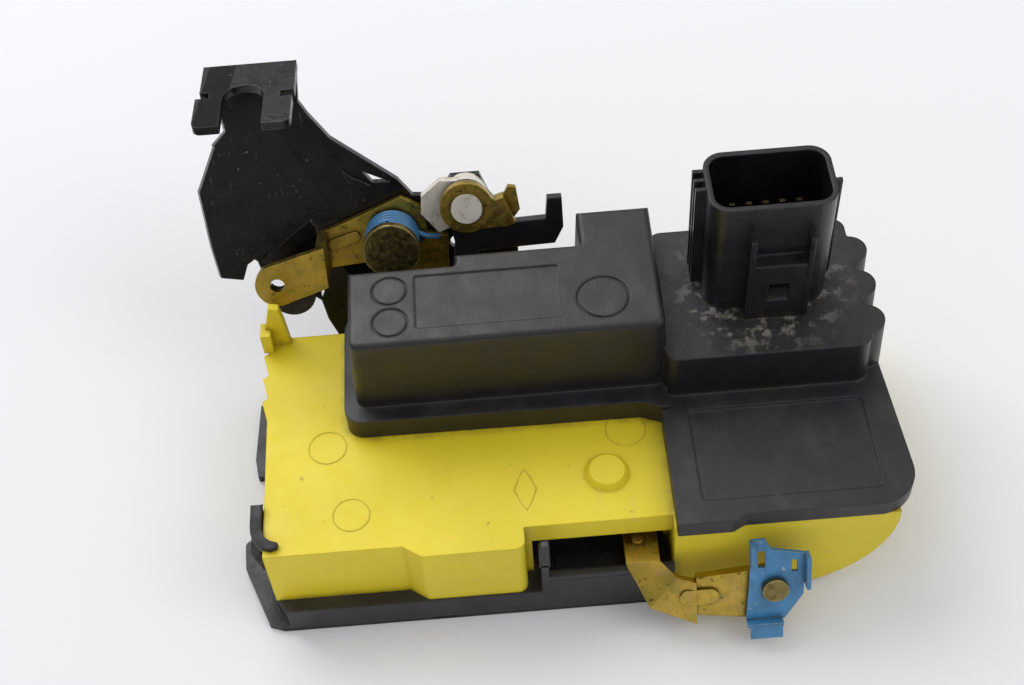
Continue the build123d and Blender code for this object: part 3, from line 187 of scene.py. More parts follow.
def patches(tree, place, size, start, end, detail=6.0, stretch=(1, 1, 1)):
    """Mask of separate patches: 0 below the start level of a noise, 1 above its end."""
    scaled = add(tree, "ShaderNodeMapping", {"Scale": stretch}, {"Vector": place})
    noise = add(tree, "ShaderNodeTexNoise", {"Scale": 1 / (size * MM), "Detail": detail,
                                             "Roughness": 0.62},
                {"Vector": scaled.outputs["Vector"]})
    mask = add(tree, "ShaderNodeMapRange", {"From Min": start, "From Max": end},
               {"Value": noise.outputs["Fac"]}, interpolation_type="SMOOTHSTEP")
    return mask.outputs["Result"]


def times(tree, first, second):
    """Product of a socket with a number or another socket."""
    node = add(tree, "ShaderNodeMath", links={0: first}, operation="MULTIPLY")
    if isinstance(second, (int, float)):
        node.inputs[1].default_value = second
    else:
        tree.links.new(second, node.inputs[1])
    return node.outputs[0]


def blend_colours(tree, factor, first, second):
    """Mix of two colours, each a socket or a linear colour."""
    node = add(tree, "ShaderNodeMix", data_type="RGBA")
    for slot_number, colour in ((6, first), (7, second)):
        if isinstance(colour, bpy.types.NodeSocket):
            tree.links.new(colour, node.inputs[slot_number])
        else:
            node.inputs[slot_number].default_value = (*colour[:3], 1)
    tree.links.new(factor, node.inputs[0])
    return node.outputs[2]


def shade(colour, factor):
    """Colour made lighter or darker by a factor."""
    return [min(1, channel * factor) for channel in colour]


def grime_and_shade_in_corners(tree, reach):
    """Mask of occluded corners: 1 where wiping never reaches and where shade falls."""
    hidden = add(tree, "ShaderNodeAmbientOcclusion", {"Distance": reach * MM}, samples=6)
    mask = add(tree, "ShaderNodeMapRange", {"From Min": 0.95, "From Max": 0.55},
               {"Value": hidden.outputs["AO"]})
    return mask.outputs["Result"]


def wear_and_highlight_edges(tree, radius):
    """Mask that is 1 on outer edges, from how far a rounded normal leaves the true one; for wear
    and a painted highlight.
    """
    rounded = add(tree, "ShaderNodeBevel", {"Radius": radius * MM}, samples=4)
    true = add(tree, "ShaderNodeNewGeometry")
    same = add(tree, "ShaderNodeVectorMath", links={0: rounded.outputs["Normal"],
                                                    1: true.outputs["Normal"]},
               operation="DOT_PRODUCT")
    mask = add(tree, "ShaderNodeMapRange", {"From Min": 0.98, "From Max": 0.82},
               {"Value": same.outputs["Value"]})
    return mask.outputs["Result"]


def near(tree, place, point, start, end):
    """Mask that is 1 within a start distance of a point and 0 beyond an end, in millimetres."""
    gap = add(tree, "ShaderNodeVectorMath", {1: point}, {0: place}, operation="DISTANCE")
    mask = add(tree, "ShaderNodeMapRange", {"From Min": end * MM, "From Max": start * MM},
               {"Value": gap.outputs["Value"]})
    return mask.outputs["Result"]


def facing_up(tree):
    """Mask that is 1 on faces that look up, where dust settles."""
    up = add(tree, "ShaderNodeSeparateXYZ",
             links={0: add(tree, "ShaderNodeNewGeometry").outputs["Normal"]}).outputs["Z"]
    mask = add(tree, "ShaderNodeMapRange", {"From Min": 0.2, "From Max": 0.9}, {"Value": up})
    return mask.outputs["Result"]


def relief(tree, height, depth, radius=None, after=None):
    """Bump from a height socket with a depth in millimetres, over softened edges."""
    node = add(tree, "ShaderNodeBump", {"Strength": 1.0, "Distance": depth * MM},
               {"Height": height})
    if after is not None:
        tree.links.new(after, node.inputs["Normal"])
    elif radius:
        soft = add(tree, "ShaderNodeBevel", {"Radius": radius * MM}, samples=4)
        tree.links.new(soft.outputs["Normal"], node.inputs["Normal"])
    return node.outputs["Normal"]


def yellow_moulding(colours):
    """Yellow acetal, injection moulded: a satin skin with faint flow marks, brown grime and
    painted shade.
    """
    material, tree, output, place = start_material("Yellow acetal, injection moulded")
    clouds = grain(tree, place, 22, 2)
    body = blend_colours(tree, clouds, shade(colours.yellow, 0.93), shade(colours.yellow, 1.04))
    # Brown grime and painted shade: the yellow turns darker brown in occluded corners
    corners = times(tree, grime_and_shade_in_corners(tree, 2.2), grain(tree, place, 3, 4, 0.1, 0.8))
    body = blend_colours(tree, corners, body, linear("#8C7420"))
    specks = times(tree, patches(tree, place, 2.4, 0.66, 0.76), 0.55)
    body = blend_colours(tree, specks, body, linear("#6B5720"))
    scuffs = times(tree, patches(tree, place, 5, 0.6, 0.72, stretch=(1, 0.25, 1)), 0.3)
    body = blend_colours(tree, scuffs, body, linear("#C9B56A"))
    gloss = grain(tree, place, 6, 4, 0.40, 0.56)
    flow = relief(tree, grain(tree, place, 14, 1), 0.08, radius=0.5)
    skin = relief(tree, grain(tree, place, 0.5, 2), 0.012, after=flow)
    surface(tree, output, {"IOR": 1.48, "Subsurface Weight": 0.05, "Subsurface Scale": 0.6 * MM},
            body, gloss, skin)
    return material


def black_moulding(name, colours, base_gloss, dust_amount, residue_at=None):
    """Glass-filled plastic, injection moulded: dark satin with dry dust and a whitish crust."""
    material, tree, output, place = start_material(name)
    body = blend_colours(tree, grain(tree, place, 9, 4), shade(colours.black, 0.8),
                         shade(colours.black, 1.35))
    facing = facing_up(tree)
    dusty = patches(tree, place, 7, 0.42, 0.75, detail=8, stretch=(1, 0.5, 1))
    dusty = times(tree, times(tree, dusty, facing), dust_amount)
    body = blend_colours(tree, dusty, body, colours.dust)
    corners = times(tree, grime_and_shade_in_corners(tree, 2.0), dust_amount * 1.2)
    body = blend_colours(tree, corners, body, shade(colours.dust, 0.7))
    if residue_at is not None:
        foot = times(tree, near(tree, place, residue_at, 14, 22), facing)
        crust = times(tree, patches(tree, place, 3.2, 0.5, 0.62, detail=9), 0.34)
        body = blend_colours(tree, times(tree, crust, foot), body, linear("#B9B4A8"))
    rubbed = times(tree, wear_and_highlight_edges(tree, 0.5), grain(tree, place, 1.5, 4, 0.0, 0.2))
    body = blend_colours(tree, rubbed, body, linear("#77757A"))
    gloss = grain(tree, place, 5, 5, base_gloss, base_gloss + 0.16)
    flow = relief(tree, grain(tree, place, 12, 1), 0.10, radius=0.7)
    skin = relief(tree, grain(tree, place, 0.45, 3), 0.02, after=flow)
    surface(tree, output, {"IOR": 1.53}, body, gloss, skin)
    return material


def facet_height(tree, place):
    """Height that falls by 1 across the narrow facet between the wing and the wall."""
    centred = add(tree, "ShaderNodeVectorMath",
                  {1: -deck_point(FACET_EDGE[0], 0, FACET_EDGE[1])}, {0: place}, operation="ADD")
    across = add(tree, "ShaderNodeVectorMath", {1: (FACET_ACROSS[0], 0, FACET_ACROSS[1])},
                 {0: centred.outputs[0]}, operation="DOT_PRODUCT")
    fall = add(tree, "ShaderNodeMapRange", {"From Min": 0, "From Max": FACET_WIDTH * MM,
                                            "To Min": 1, "To Max": 0},
               {"Value": across.outputs["Value"]})
    return fall.outputs["Result"]


def black_coat(colours):
    """Steel, pressed and dipped in black coat: glossy, with orange peel, scratches, bare edges."""
    material, tree, output, place = start_material("Pressed steel, black dip coat")
    body = blend_colours(tree, grain(tree, place, 8, 3), shade(colours.coat, 0.7),
                         shade(colours.coat, 1.5))
    scratch = patches(tree, place, 3.0, 0.66, 0.71, detail=3, stretch=(5, 0.6, 0.6))
    body = blend_colours(tree, times(tree, scratch, 0.25), body, linear("#7C7B80"))
    specks = patches(tree, place, 0.9, 0.73, 0.76, detail=2)
    body = blend_colours(tree, times(tree, specks, 0.7), body, linear("#A5A29C"))
    rubbed = times(tree, wear_and_highlight_edges(tree, 0.4), grain(tree, place, 1.2, 4, 0.05, 0.7))
    body = blend_colours(tree, rubbed, body, linear("#8D8A86"))
    gloss = grain(tree, place, 4, 5, 0.20, 0.38)
    facet = relief(tree, facet_height(tree, place), 2.4, radius=0.25)
    skin = relief(tree, grain(tree, place, 1.1, 2), 0.02, after=facet)
    surface(tree, output, {"IOR": 1.4}, body, gloss, skin)
    return material


def yellow_zinc(colours):
    """Steel, zinc plated and yellow chromated: gold metal with rosy and green clouds."""
    material, tree, output, place = start_material("Pressed steel, yellow chromated zinc")
    body = blend_colours(tree, grain(tree, place, 4, 3), colours.gold, linear("#AC9440"))
    body = blend_colours(tree, times(tree, patches(tree, place, 5, 0.48, 0.64), 0.28), body,
                         linear("#B58E6C"))
    moved = add(tree, "ShaderNodeVectorMath", {1: (0.07, 0.03, 0.05)}, {0: place},
                operation="ADD").outputs[0]
    body = blend_colours(tree, times(tree, patches(tree, moved, 4, 0.5, 0.64), 0.5), body,
                         linear("#8C8A42"))
    stains = times(tree, patches(tree, moved, 1.6, 0.57, 0.70), 0.8)
    body = blend_colours(tree, stains, body, linear("#4A3E22"))
    # Painted shade: the gold turns dark brown in occluded corners
    corners = times(tree, grime_and_shade_in_corners(tree, 1.2), 0.7)
    body = blend_colours(tree, corners, body, linear("#4A3E22"))
    gloss = grain(tree, place, 1.8, 5, 0.28, 0.5)
    skin = relief(tree, grain(tree, place, 0.7, 4), 0.02, radius=0.3)
    surface(tree, output, {"Metallic": 1.0}, body, gloss, skin)
    return material


def bright_zinc(colours):
    """Steel, turned and zinc plated: grey metal with a warm oil film."""
    material, tree, output, place = start_material("Steel, turned and zinc plated")
    body = blend_colours(tree, grain(tree, place, 3, 4), colours.steel, shade(colours.steel, 0.7))
    film = times(tree, patches(tree, place, 2.2, 0.5, 0.68), 0.5)
    body = blend_colours(tree, film, body, linear("#7A6A45"))
    gloss = grain(tree, place, 1.2, 4, 0.24, 0.42)
    skin = relief(tree, grain(tree, place, 0.5, 3), 0.01, radius=0.2)
    surface(tree, output, {"Metallic": 1.0}, body, gloss, skin)
    return material


def greased_head(colours):
    """Steel, turned and yellow chromated, under old grease: dull gold with dark pits, painted rim
    highlight.
    """
    material, tree, output, place = start_material("Turned steel, chromated, greased")
    body = blend_colours(tree, grain(tree, place, 2.6, 5), colours.head, shade(colours.head, 0.7))
    pits = times(tree, patches(tree, place, 1.3, 0.52, 0.66), 0.5)
    body = blend_colours(tree, pits, body, linear("#2E271A"))
    # Painted highlight: pale gold painted on the rim of the head
    painted_rim_highlight = times(tree, wear_and_highlight_edges(tree, 0.5), 0.8)
    body = blend_colours(tree, painted_rim_highlight, body, linear("#D6C584"))
    gloss = grain(tree, place, 1.2, 4, 0.26, 0.5)
    skin = relief(tree, grain(tree, place, 0.8, 4), 0.05, radius=0.3)
    surface(tree, output, {"Metallic": 1.0}, body, gloss, skin)
    return material


def blue_coat(name, colour):
    """Spring steel with a baked blue coat, rubbed to bare grey on its edges."""
    material, tree, output, place = start_material(name)
    body = blend_colours(tree, grain(tree, place, 3, 4), shade(colour, 0.8), shade(colour, 1.15))
    bare = times(tree, wear_and_highlight_edges(tree, 0.3), grain(tree, place, 0.9, 4, 0.1, 0.9))
    chips = patches(tree, place, 1.4, 0.62, 0.68)
    worn = add(tree, "ShaderNodeMath", links={0: bare, 1: times(tree, chips, 0.8)},
               operation="MAXIMUM").outputs[0]
    body = blend_colours(tree, worn, body, linear("#A9ACAC"))
    # Painted shade: the blue turns near-black in occluded corners
    painted_corner_shade = times(tree, grime_and_shade_in_corners(tree, 1.2), 0.6)
    body = blend_colours(tree, painted_corner_shade, body, linear("#2B2A22"))
    gloss = grain(tree, place, 1.6, 4, 0.30, 0.46)
    skin = relief(tree, grain(tree, place, 0.6, 3), 0.012, radius=0.2)
    surface(tree, output, {"IOR": 1.5, "Coat Weight": 0.15}, body, gloss, skin,
            metal=times(tree, worn, 0.9))
    return material


def white_acetal(colours):
    """Natural acetal, injection moulded: waxy white with brown grease smears."""
    material, tree, output, place = start_material("Natural acetal, injection moulded")
    body = blend_colours(tree, grain(tree, place, 4, 3), shade(colours.bush, 0.9), colours.bush)
    grease = times(tree, patches(tree, place, 2.6, 0.52, 0.7), 0.65)
    body = blend_colours(tree, grease, body, linear("#8A7A58"))
    # Painted shade: the white turns dark brown in occluded corners
    corners = times(tree, grime_and_shade_in_corners(tree, 1.6), 0.6)
    body = blend_colours(tree, corners, body, linear("#5F5238"))
    gloss = grain(tree, place, 2, 4, 0.24, 0.42)
    skin = relief(tree, grain(tree, place, 0.8, 2), 0.012, radius=0.3)
    surface(tree, output, {"IOR": 1.48, "Subsurface Weight": 0.15, "Subsurface Scale": 1.0 * MM},
            body, gloss, skin)
    return material


def moulded_rubber(colours):
    """Synthetic rubber, moulded: dull black with a dry bloom."""
    material, tree, output, place = start_material("Synthetic rubber, moulded")
    bloom = patches(tree, place, 3, 0.45, 0.75)
    body = blend_colours(tree, times(tree, bloom, 0.25), colours.rubber, linear("#6A6965"))
    gloss = grain(tree, place, 2, 3, 0.55, 0.75)
    skin = relief(tree, grain(tree, place, 0.5, 3), 0.02, radius=0.4)
    surface(tree, output, {"IOR": 1.52}, body, gloss, skin)
    return material


def tinned_brass(colours):
    """Brass, stamped and tinned: a dull metal with a fine tool grain."""
    material, tree, output, place = start_material("Brass, stamped and tinned")
    body = blend_colours(tree, grain(tree, place, 2, 4), colours.brass, shade(colours.brass, 0.8))
    gloss = grain(tree, place, 1, 3, 0.22, 0.38)
    skin = relief(tree, grain(tree, place, 0.3, 2), 0.006, radius=0.15)
    surface(tree, output, {"Metallic": 1.0}, body, gloss, skin)
    return material


def natural_nylon(colours):
    """Natural nylon, injection moulded: milky and smooth."""
    material, tree, output, place = start_material("Natural nylon, injection moulded")
    body = blend_colours(tree, grain(tree, place, 5, 2), colours.nylon, shade(colours.nylon, 0.92))
    gloss = grain(tree, place, 3, 3, 0.3, 0.42)
    skin = relief(tree, grain(tree, place, 1.0, 2), 0.01, radius=0.2)
    surface(tree, output, {"IOR": 1.53, "Subsurface Weight": 0.2, "Subsurface Scale": 1.0 * MM},
            body, gloss, skin)
    return material


def painted_table(settings):
    """Painted board, rolled: matt and pale, so that only soft shadows show on it."""
    material, tree, output, _ = start_material("Painted board, rolled matt white")
    shader = add(tree, "ShaderNodeBsdfDiffuse", {"Color": (*settings.table, 1), "Roughness": 0.5})
    tree.links.new(shader.outputs[0], output.inputs["Surface"])
    return material


def dress(material, *names):
    """Give CAD nodes one material."""
    for name in names:
        data = NODES[name].data
        data.materials.clear()
        data.materials.append(material)


def shift(x, y, z):
    """Vector in metres from millimetres."""
    return Vector((x, y, z)) * MM


def deck_point(x, y, z):
    """Point in metres from millimetres measured at the housing's front left corner."""
    return Vector(((x + CORNER[0]) * MM, (y + CORNER[1]) * MM, z * MM))


def leaning_point(x, y, z, lean, up, out):
    """Point on a plane through a point that leans back, by the way up it and out of it."""
    return deck_point(x, y + up * math.sin(lean) - out * math.cos(lean),
                      z + up * math.cos(lean) + out * math.sin(lean))


def wall_point(x, up, out):
    """Point in metres on the leaning bracket wall, from X, the way up it and out of it."""
    return leaning_point(x, WALL_Y, 0, WALL_LEAN, up, out)


def arm_point(along, up, out):
    """Point in metres on the face of the outer lever's arm, from its pin."""
    return leaning_point(CLIP_PIN[0] + along, CLIP_PIN[1], CLIP_PIN[2], ARM_TILT, up, out)


def axes(point):
    """Unit vectors along, up and out of a plane, from the function that gives its points."""
    origin = point(0, 0, 0)
    return [(point(*step) - origin) / MM for step in ((1, 0, 0), (0, 1, 0), (0, 0, 1))]


def upright(outline, y):
    """Points at a depth from an outline in X and height."""
    return [deck_point(x, y, z) for x, z in outline]


def level(outline, z):
    """Points at a height from an outline in X and Y."""
    return [deck_point(x, y, z) for x, y in outline]


def on_wall(outline):
    """Points on the bracket wall's front from an outline in X and the way up."""
    return [wall_point(x, up, 0) for x, up in outline]


def oblong(left, near_side, right, far_side):
    """Outline of an oblong in X and Y."""
    return [(left, near_side), (right, near_side), (right, far_side), (left, far_side)]


def circle(x, y, radius, count=40):
    """Outline of a circle in X and Y."""
    return [(x + radius * math.cos(2 * math.pi * i / count),
             y + radius * math.sin(2 * math.pi * i / count)) for i in range(count)]


def slot_shape(centre, along, across, long, wide, steps=8):
    """Points of a slot about a centre, with its length and width in millimetres."""
    points = []
    for end in (1, -1):
        for i in range(steps + 1):
            turn = math.pi * (i / steps - 0.5)
            run = end * ((long - wide) / 2 + wide / 2 * math.cos(turn))
            points.append(centre + (along * run
                                    + across * end * wide / 2 * math.sin(turn)) * MM)
    return points


def join_rings(shape, rings):
    """Faces between closed rings of vertices that follow each other."""
    for first, second in zip(rings, rings[1:]):
        count = len(first)
        for i in range(count):
            j = (i + 1) % count
            shape.faces.new((first[i], first[j], second[j], second[i]))


def prism(shape, outline, thickness):
    """Plate with a flat outline of points, extended by a thickness vector."""
    front = [shape.verts.new(point) for point in outline]
    back = [shape.verts.new(point + thickness) for point in outline]
    shape.faces.new(front)
    shape.faces.new(reversed(back))
    join_rings(shape, (front, back))


def tube(shape, points, radius, sides=12):
    """Round wire along a few points, closed at both ends."""
    rings = []
    for place, point in enumerate(points):
        before, after = points[max(place - 1, 0)], points[min(place + 1, len(points) - 1)]
        along = (after - before).normalized()
        if rings:
            across = (across - along * across.dot(along)).normalized()
        else:
            across = along.orthogonal().normalized()
        other = along.cross(across)
        turns = [2 * math.pi * i / sides for i in range(sides)]
        rings.append([shape.verts.new(point + radius * (across * math.cos(turn)
                                                        + other * math.sin(turn)))
                      for turn in turns])
    join_rings(shape, rings)
    shape.faces.new(rings[0])
    shape.faces.new(reversed(rings[-1]))


def rim(shape, outline, height, width):
    """Raised rim with sloped sides along a closed outline of points, sunk a little."""
    sunk = 0.05 * MM
    centre = sum(outline, Vector()) / len(outline)
    rings = []
    for step, lift in ((-0.5, -sunk), (-0.2, height), (0.2, height), (0.5, -sunk)):
        rings.append([shape.verts.new(point + (point - centre).normalized() * step * width
                                      + Vector((0, 0, lift))) for point in outline])
    join_rings(shape, rings)


def mesh_piece(name, build, material, body="lock_case"):
    """Make a mesh piece with bmesh, give it a material and let it ride on a body."""
    shape = bmesh.new()
    build(shape)
    bmesh.ops.recalc_face_normals(shape, faces=shape.faces)
    data = bpy.data.meshes.new(name)
    shape.to_mesh(data)
    shape.free()
    data.materials.append(material)
    piece = bpy.data.objects.new(name, data)
    bpy.context.scene.collection.objects.link(piece)
    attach(piece, body)


def plates_piece(name, plates, material, body="lock_case"):
    """Make a mesh piece of plates, each an outline of points and a thickness vector."""
    def build(shape):
        for outline, thickness in plates:
            prism(shape, outline, thickness)

    mesh_piece(name, build, material, body)


def rims_piece(name, outlines, sizes, material):
    """Make a mesh piece of raised rims along outlines at the deck's height."""
    def build(shape):
        for outline in outlines:
            rim(shape, level(outline, DECK_TOP), sizes.mark, sizes.mark_width)

    mesh_piece(name, build, material)


def make_table(scene):
    """Round table top, so that no side view sees a corner of it."""
    data = bpy.data.meshes.new("table")
    edge = [(TABLE_RADIUS * x, TABLE_RADIUS * y, 0) for x, y in circle(0, 0, 1, 96)]
    data.from_pydata(edge, [], [range(len(edge))])
    data.materials.append(painted_table(scene.lock_stage))
    table = bpy.data.objects.new("table", data)
    scene.collection.objects.link(table)


def make_sky(scene):
    """White studio sky that is dim at the horizon and bright overhead."""
    sky = bpy.data.worlds.new("Soft studio")
    sky.use_nodes = True
    tree = sky.node_tree
    way = add(tree, "ShaderNodeSeparateXYZ",
              links={0: add(tree, "ShaderNodeTexCoord").outputs["Generated"]})
    height = add(tree, "ShaderNodeMapRange", {"From Min": -0.05, "From Max": 0.7,
                                              "To Min": SKY_BELOW, "To Max": SKY_ABOVE},
                 {"Value": way.outputs["Z"]})
    back = tree.nodes["Background"]
    back.inputs["Color"].default_value = (1, 1, 1, 1)
    tree.links.new(height.outputs["Result"], back.inputs["Strength"])
    scene.world = sky


def make_lamps(scene):
    """Large soft lamps: the window behind on the left and a weak fill on the right."""
    for name, place, side, power in LAMPS:
        lamp = bpy.data.lights.new(name, "AREA")
        lamp.size = side
        lamp.energy = power
        light = bpy.data.objects.new(name, lamp)
        light.location = place
        aim = LAMP_AIM - light.location
        light.rotation_euler = aim.to_track_quat("-Z", "Y").to_euler()
        scene.collection.objects.link(light)


def make_camera(scene):
    """Camera at the photograph's angle."""
    settings = scene.lock_stage
    data = bpy.data.cameras.new("camera")
    data.lens = CAMERA_LENS
    data.sensor_width = CAMERA_SENSOR
    data.sensor_fit = "HORIZONTAL"
    data.clip_start = 0.01
    camera = bpy.data.objects.new("camera", data)
    place = Matrix.Translation((*CAMERA_FOOT, settings.distance))
    turn = Matrix.Rotation(math.pi / 2 - settings.tilt, 4, "X")
    camera.matrix_world = place @ turn @ Matrix.Rotation(settings.roll, 4, "Z")
    scene.collection.objects.link(camera)
    scene.camera = camera


class LOCK_OT_stage(bpy.types.Operator):
    """Make the table, the sky, the lamps and the camera"""
    bl_idname = "lock.stage"
    bl_label = "Stage"

    def execute(self, context):
        scene = context.scene
        scene.view_settings.view_transform = "Standard"
        make_table(scene)
        make_sky(scene)
        make_lamps(scene)
        make_camera(scene)
        return {"FINISHED"}


# Moulding marks on the deck: circles by centre and radius, and a diamond with cut sides
DECK_CIRCLES = ((19.2, 12.1, 4.0), (80.2, 28.6, 4.4), (14.0, 30.0, 4.2))
DIAMOND_CENTRE = (57, 15)
DIAMOND_REACH = (2.4, 5.2)
DIAMOND = ((1, 0), (0.5, 0.62), (0, 1), (-0.5, 0.62), (-1, 0), (-0.5, -0.62), (0, -1),
           (0.5, -0.62))

# Pointed fin at the housing's rear left corner, in X and height
FIN = ((0.2, 27.9), (0.2, 34.0), (2.0, 41.2), (4.2, 40.6), (4.8, 36.0), (5.3, 27.9))
FIN_Y = 60.2
FIN_THICK = 1.8


class LOCK_OT_housing(bpy.types.Operator):
    """Finish the yellow housing and add its moulding marks and corner fin"""
    bl_idname = "lock.housing"
    bl_label = "Yellow housing"

    def execute(self, context):
        scene = context.scene
        yellow = yellow_moulding(scene.lock_colours)
        dress(yellow, "actuator_housing")
        diamond = [(DIAMOND_CENTRE[0] + DIAMOND_REACH[0] * x,
                    DIAMOND_CENTRE[1] + DIAMOND_REACH[1] * y) for x, y in DIAMOND]
        rims_piece("moulding_marks", [circle(*mark) for mark in DECK_CIRCLES] + [diamond],
                   scene.lock_sizes, yellow)
        plates_piece("corner_fin", [(upright(FIN, FIN_Y), shift(0, FIN_THICK, 0))], yellow)
        return {"FINISHED"}


# Post at the left end of the front slot, in X and height, and the sill that runs on from it
SLOT_POST = ((58.7, 20.0), (58.7, 27.3), (59.3, 28.3), (61.0, 28.5), (61.0, 20.0))
SLOT_WALL = 1.6
SILL_LEFT, SILL_RIGHT = 60.7, 88.0
SILL_LOW, SILL_HIGH = 13.9, 1.8

# Posts beside the latch of the plug socket: left sides, width, depths, foot and height
LATCH_POSTS = (107.8, 120.2)
LATCH_POST_WIDTH = 1.2
LATCH_POST_FRONT, LATCH_POST_BACK = 43.4, 47.2
LATCH_POST_LOW, LATCH_POST_HIGH = 45.0, 25.0

# Inner rims of the dials, by centre and radius: at the deck's height they lie inside the cover
DIALS = ((31.0, 51.3, 1.5), (31.0, 42.6, 1.5), (77.0, 45.0, 1.9))


class LOCK_OT_cover(bpy.types.Operator):
    """Finish the black cover, base and plug socket"""
    bl_idname = "lock.cover"
    bl_label = "Black mouldings"

    def execute(self, context):
        scene = context.scene
        colours = scene.lock_colours
        low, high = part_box("connector_shroud")
        socket_foot = (low + high) / 2
        socket_foot[2] = BLOCK_TOP * MM
        cover = black_moulding("Glass-filled nylon, moulded cover", colours, 0.36, 0.07,
                               socket_foot)
        base = black_moulding("Glass-filled nylon, moulded base", colours, 0.34, 0.07)
        socket = black_moulding("Glass-filled polyester, moulded socket", colours, 0.24, 0.05)
        dress(cover, "actuator_cover", "slider_rails", "micro_switches")
        dress(base, "base_housing")
        dress(socket, "connector_shroud", "lead_frame", "lock_arm", "motor_end_cap")
        sill = level(oblong(SILL_LEFT, 0.0, SILL_RIGHT, SLOT_WALL), SILL_LOW)
        plates_piece("slot_frame", [(upright(SLOT_POST, 0), shift(0, SLOT_WALL, 0)),
                                    (sill, shift(0, 0, SILL_HIGH))], base)
        posts = [level(oblong(left, LATCH_POST_FRONT, left + LATCH_POST_WIDTH, LATCH_POST_BACK),
                       LATCH_POST_LOW) for left in LATCH_POSTS]
        plates_piece("latch_posts", [(post, shift(0, 0, LATCH_POST_HIGH)) for post in posts],
                     socket)
        rims_piece("dial_rims", [circle(*dial, count=24) for dial in DIALS], scene.lock_sizes,
                   cover)
        return {"FINISHED"}


# Flat tab and crescent of the bracket wall, in X and the way up
TAB = ((11.6, 25.7), (12.0, 31.6), (-1.2, 33.0), (-2.2, 37.0), (-1.6, 40.0), (10.4, 48.0),
       (12.8, 45.0))
CRESCENT = ((20.6, 59.2), (20.9, 57.4), (21.9, 55.9), (24.2, 54.8), (26.8, 54.6), (25.2, 55.8),
            (23.0, 56.8), (21.6, 58.0))
CRESCENT_HIGH = 0.7

# Neck of the wing under the flange, by the way down the crease and out along the wing
NECK = ((0.4, -1.0), (0.8, 2.6), (6.6, 4.6), (7.6, 8.8), (10.5, 9.0), (10.5, -1.0))


class LOCK_OT_bracket(bpy.types.Operator):
    """Finish the bracket and face plate, and add the bracket's tab, neck and crescent"""
    bl_idname = "lock.bracket"
    bl_label = "Coated steel"

    def execute(self, context):
        coat = black_coat(context.scene.lock_colours)
        dress(coat, "cable_bracket", "face_plate")
        outward = axes(wall_point)[2]
        head = wall_point(*CREASE_HEAD, 0)
        crease = (wall_point(*CREASE_END, 0) - head).normalized()
        wing_out = (Matrix.Rotation(-WING_FOLD, 3, crease) @ crease.cross(outward)).normalized()
        wing_back = wing_out.cross(crease).normalized()
        if wing_back.dot(outward) > 0:
            wing_back.negate()
        neck = [head + (crease * down + wing_out * out) * MM for down, out in NECK]
        plates_piece("bracket_tab", [(on_wall(TAB), -SHEET * MM * outward)], coat)
        plates_piece("bracket_neck", [(neck, wing_back * SHEET * MM)], coat)
        plates_piece("bracket_crescent", [(on_wall(CRESCENT), CRESCENT_HIGH * MM * outward)],
                     coat)
        return {"FINISHED"}


# Leg of the inner lever's spring, by X, the way up the wall and out of it
SPRING_LEG = ((36.1, 45.0, 4.6), (37.0, 43.4, 4.6), (39.0, 42.4, 4.4), (41.8, 41.8, 3.6))

# Ribs pressed into the levers: centre on the lever's face, length and width
ARM_RIB, ARM_RIB_LONG, ARM_RIB_WIDE = (-16.2, -1.6, 0), 8.6, 4.0
INNER_RIB, INNER_RIB_LONG, INNER_RIB_WIDE = (19.2, 42.2, 2.5), 8.0, 2.6
INNER_RIB_TURN = math.radians(17.0)

# Stud on the outer lever's strap: centre and radius, the strap's top, and the stud's height
STUD = (80.4, 6.0, 1.3)
STRAP_TOP = 18.0
STUD_HIGH = 1.2


class LOCK_OT_levers(bpy.types.Operator):
    """Finish the levers, pins, springs, clip and steel works, and add the levers' fine detail"""
    bl_idname = "lock.levers"
    bl_label = "Levers and pins"

    def execute(self, context):
        colours, sizes = context.scene.lock_colours, context.scene.lock_sizes
        gold = yellow_zinc(colours)
        wire = blue_coat("Spring wire, baked blue coat", colours.wire)
        dress(gold, "inner_release_lever", "outer_release_lever", "release_finger", "lock_rocker")
        dress(greased_head(colours), "inner_lever_pin", "rod_clip_pin")
        dress(bright_zinc(colours), "outer_lever_pin", "claw_pin", "pawl_pin", "bracket_rivets",
              "claw", "pawl", "claw_spring", "pawl_spring", "motor_case", "motor_shaft",
              "wheel_axle")
        dress(blue_coat("Spring steel, baked blue coat", colours.clip), "rod_clip")
        dress(wire, "inner_lever_spring")

        leg = [wall_point(*point) for point in SPRING_LEG]
        mesh_piece("spring_leg", lambda shape: tube(shape, leg, sizes.wire / 2), wire)

        along, up, outward = axes(arm_point)
        rib = slot_shape(arm_point(*ARM_RIB), along, up, ARM_RIB_LONG, ARM_RIB_WIDE)
        plates_piece("outer_lever_rib", [(rib, outward * sizes.rib)], gold,
                     "outer_release")
        stud = level(circle(*STUD, count=20), STRAP_TOP)
        plates_piece("strap_stud", [(stud, shift(0, 0, STUD_HIGH))], gold,
                     "outer_release")

        right, up, outward = axes(wall_point)
        cosine, sine = math.cos(INNER_RIB_TURN), math.sin(INNER_RIB_TURN)
        rib = slot_shape(wall_point(*INNER_RIB), right * cosine + up * sine,
                         up * cosine - right * sine, INNER_RIB_LONG, INNER_RIB_WIDE)
        plates_piece("inner_lever_rib", [(rib, outward * sizes.rib)], gold,
                     "inner_release")
        return {"FINISHED"}


# Tongue of the rubber lip that hooks over the housing's left edge, in X and Y, and its stem
TONGUE = ((-2.5, 15.8), (-0.1, 15.8), (-0.1, 10.4), (0.7, 7.6), (1.9, 6.6), (3.6, 6.0),
          (3.4, 4.9), (2.0, 4.4), (0.0, 5.2), (-1.4, 6.8), (-2.3, 8.6), (-2.5, 10.4))
TONGUE_LOW, TONGUE_THICK = 26.8, 2.5
STEM_FRONT, STEM_LOW, STEM_HIGH = 12.2, 5.3, 21.6


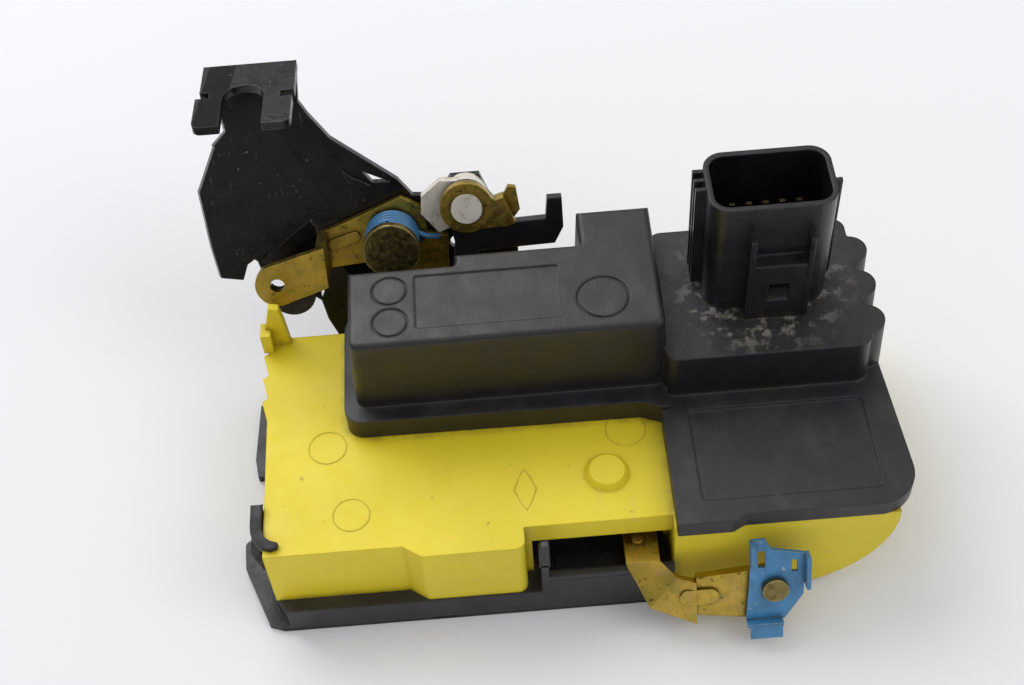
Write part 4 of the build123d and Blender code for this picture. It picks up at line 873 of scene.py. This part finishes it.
class LOCK_OT_small_mouldings(bpy.types.Operator):
    """Finish the rubber, the white bush, the nylon gears and slider, and the plug pins"""
    bl_idname = "lock.small_mouldings"
    bl_label = "Small mouldings"

    def execute(self, context):
        colours = context.scene.lock_colours
        rubber = moulded_rubber(colours)
        dress(white_acetal(colours), "rocker_bush")
        dress(rubber, "striker_lip", "lever_buffer")
        dress(tinned_brass(colours), "connector_pins")
        dress(natural_nylon(colours), "worm", "worm_wheel", "lock_slider")
        (left, back), (right, _) = TONGUE[:2]
        stem = level(oblong(left, STEM_FRONT, right, back), STEM_LOW)
        plates_piece("lip_tongue", [(level(TONGUE, TONGUE_LOW), shift(0, 0, TONGUE_THICK)),
                                    (stem, shift(0, 0, STEM_HIGH))], rubber)
        return {"FINISHED"}


class LOCK_PT_panel(bpy.types.Panel):
    """Door lock steps and settings"""
    bl_label = "Door lock"
    bl_idname = "LOCK_PT_panel"
    bl_space_type = "VIEW_3D"
    bl_region_type = "UI"
    bl_category = "Door Lock"

    def draw(self, context):
        for step in STEPS:
            self.layout.operator(step.bl_idname)
        for group in (context.scene.lock_colours, context.scene.lock_sizes,
                      context.scene.lock_stage):
            for name in group.bl_rna.properties.keys():
                if name not in ("rna_type", "name"):
                    self.layout.prop(group, name)


STEPS = (LOCK_OT_stage, LOCK_OT_housing, LOCK_OT_cover, LOCK_OT_bracket, LOCK_OT_levers,
         LOCK_OT_small_mouldings)
GROUPS = (LockColours, LockSizes, StageSettings)


def register():
    for entry in (*GROUPS, *STEPS, LOCK_PT_panel):
        bpy.utils.register_class(entry)
    bpy.types.Scene.lock_colours = bpy.props.PointerProperty(type=LockColours)
    bpy.types.Scene.lock_sizes = bpy.props.PointerProperty(type=LockSizes)
    bpy.types.Scene.lock_stage = bpy.props.PointerProperty(type=StageSettings)


def unregister():
    del bpy.types.Scene.lock_stage
    del bpy.types.Scene.lock_sizes
    del bpy.types.Scene.lock_colours
    for entry in reversed((*GROUPS, *STEPS, LOCK_PT_panel)):
        bpy.utils.unregister_class(entry)


def main():
    register()
    bpy.ops.lock.stage()
    bpy.ops.lock.housing()
    bpy.ops.lock.cover()
    bpy.ops.lock.bracket()
    bpy.ops.lock.levers()
    bpy.ops.lock.small_mouldings()


if __name__ == "__main__":
    main()
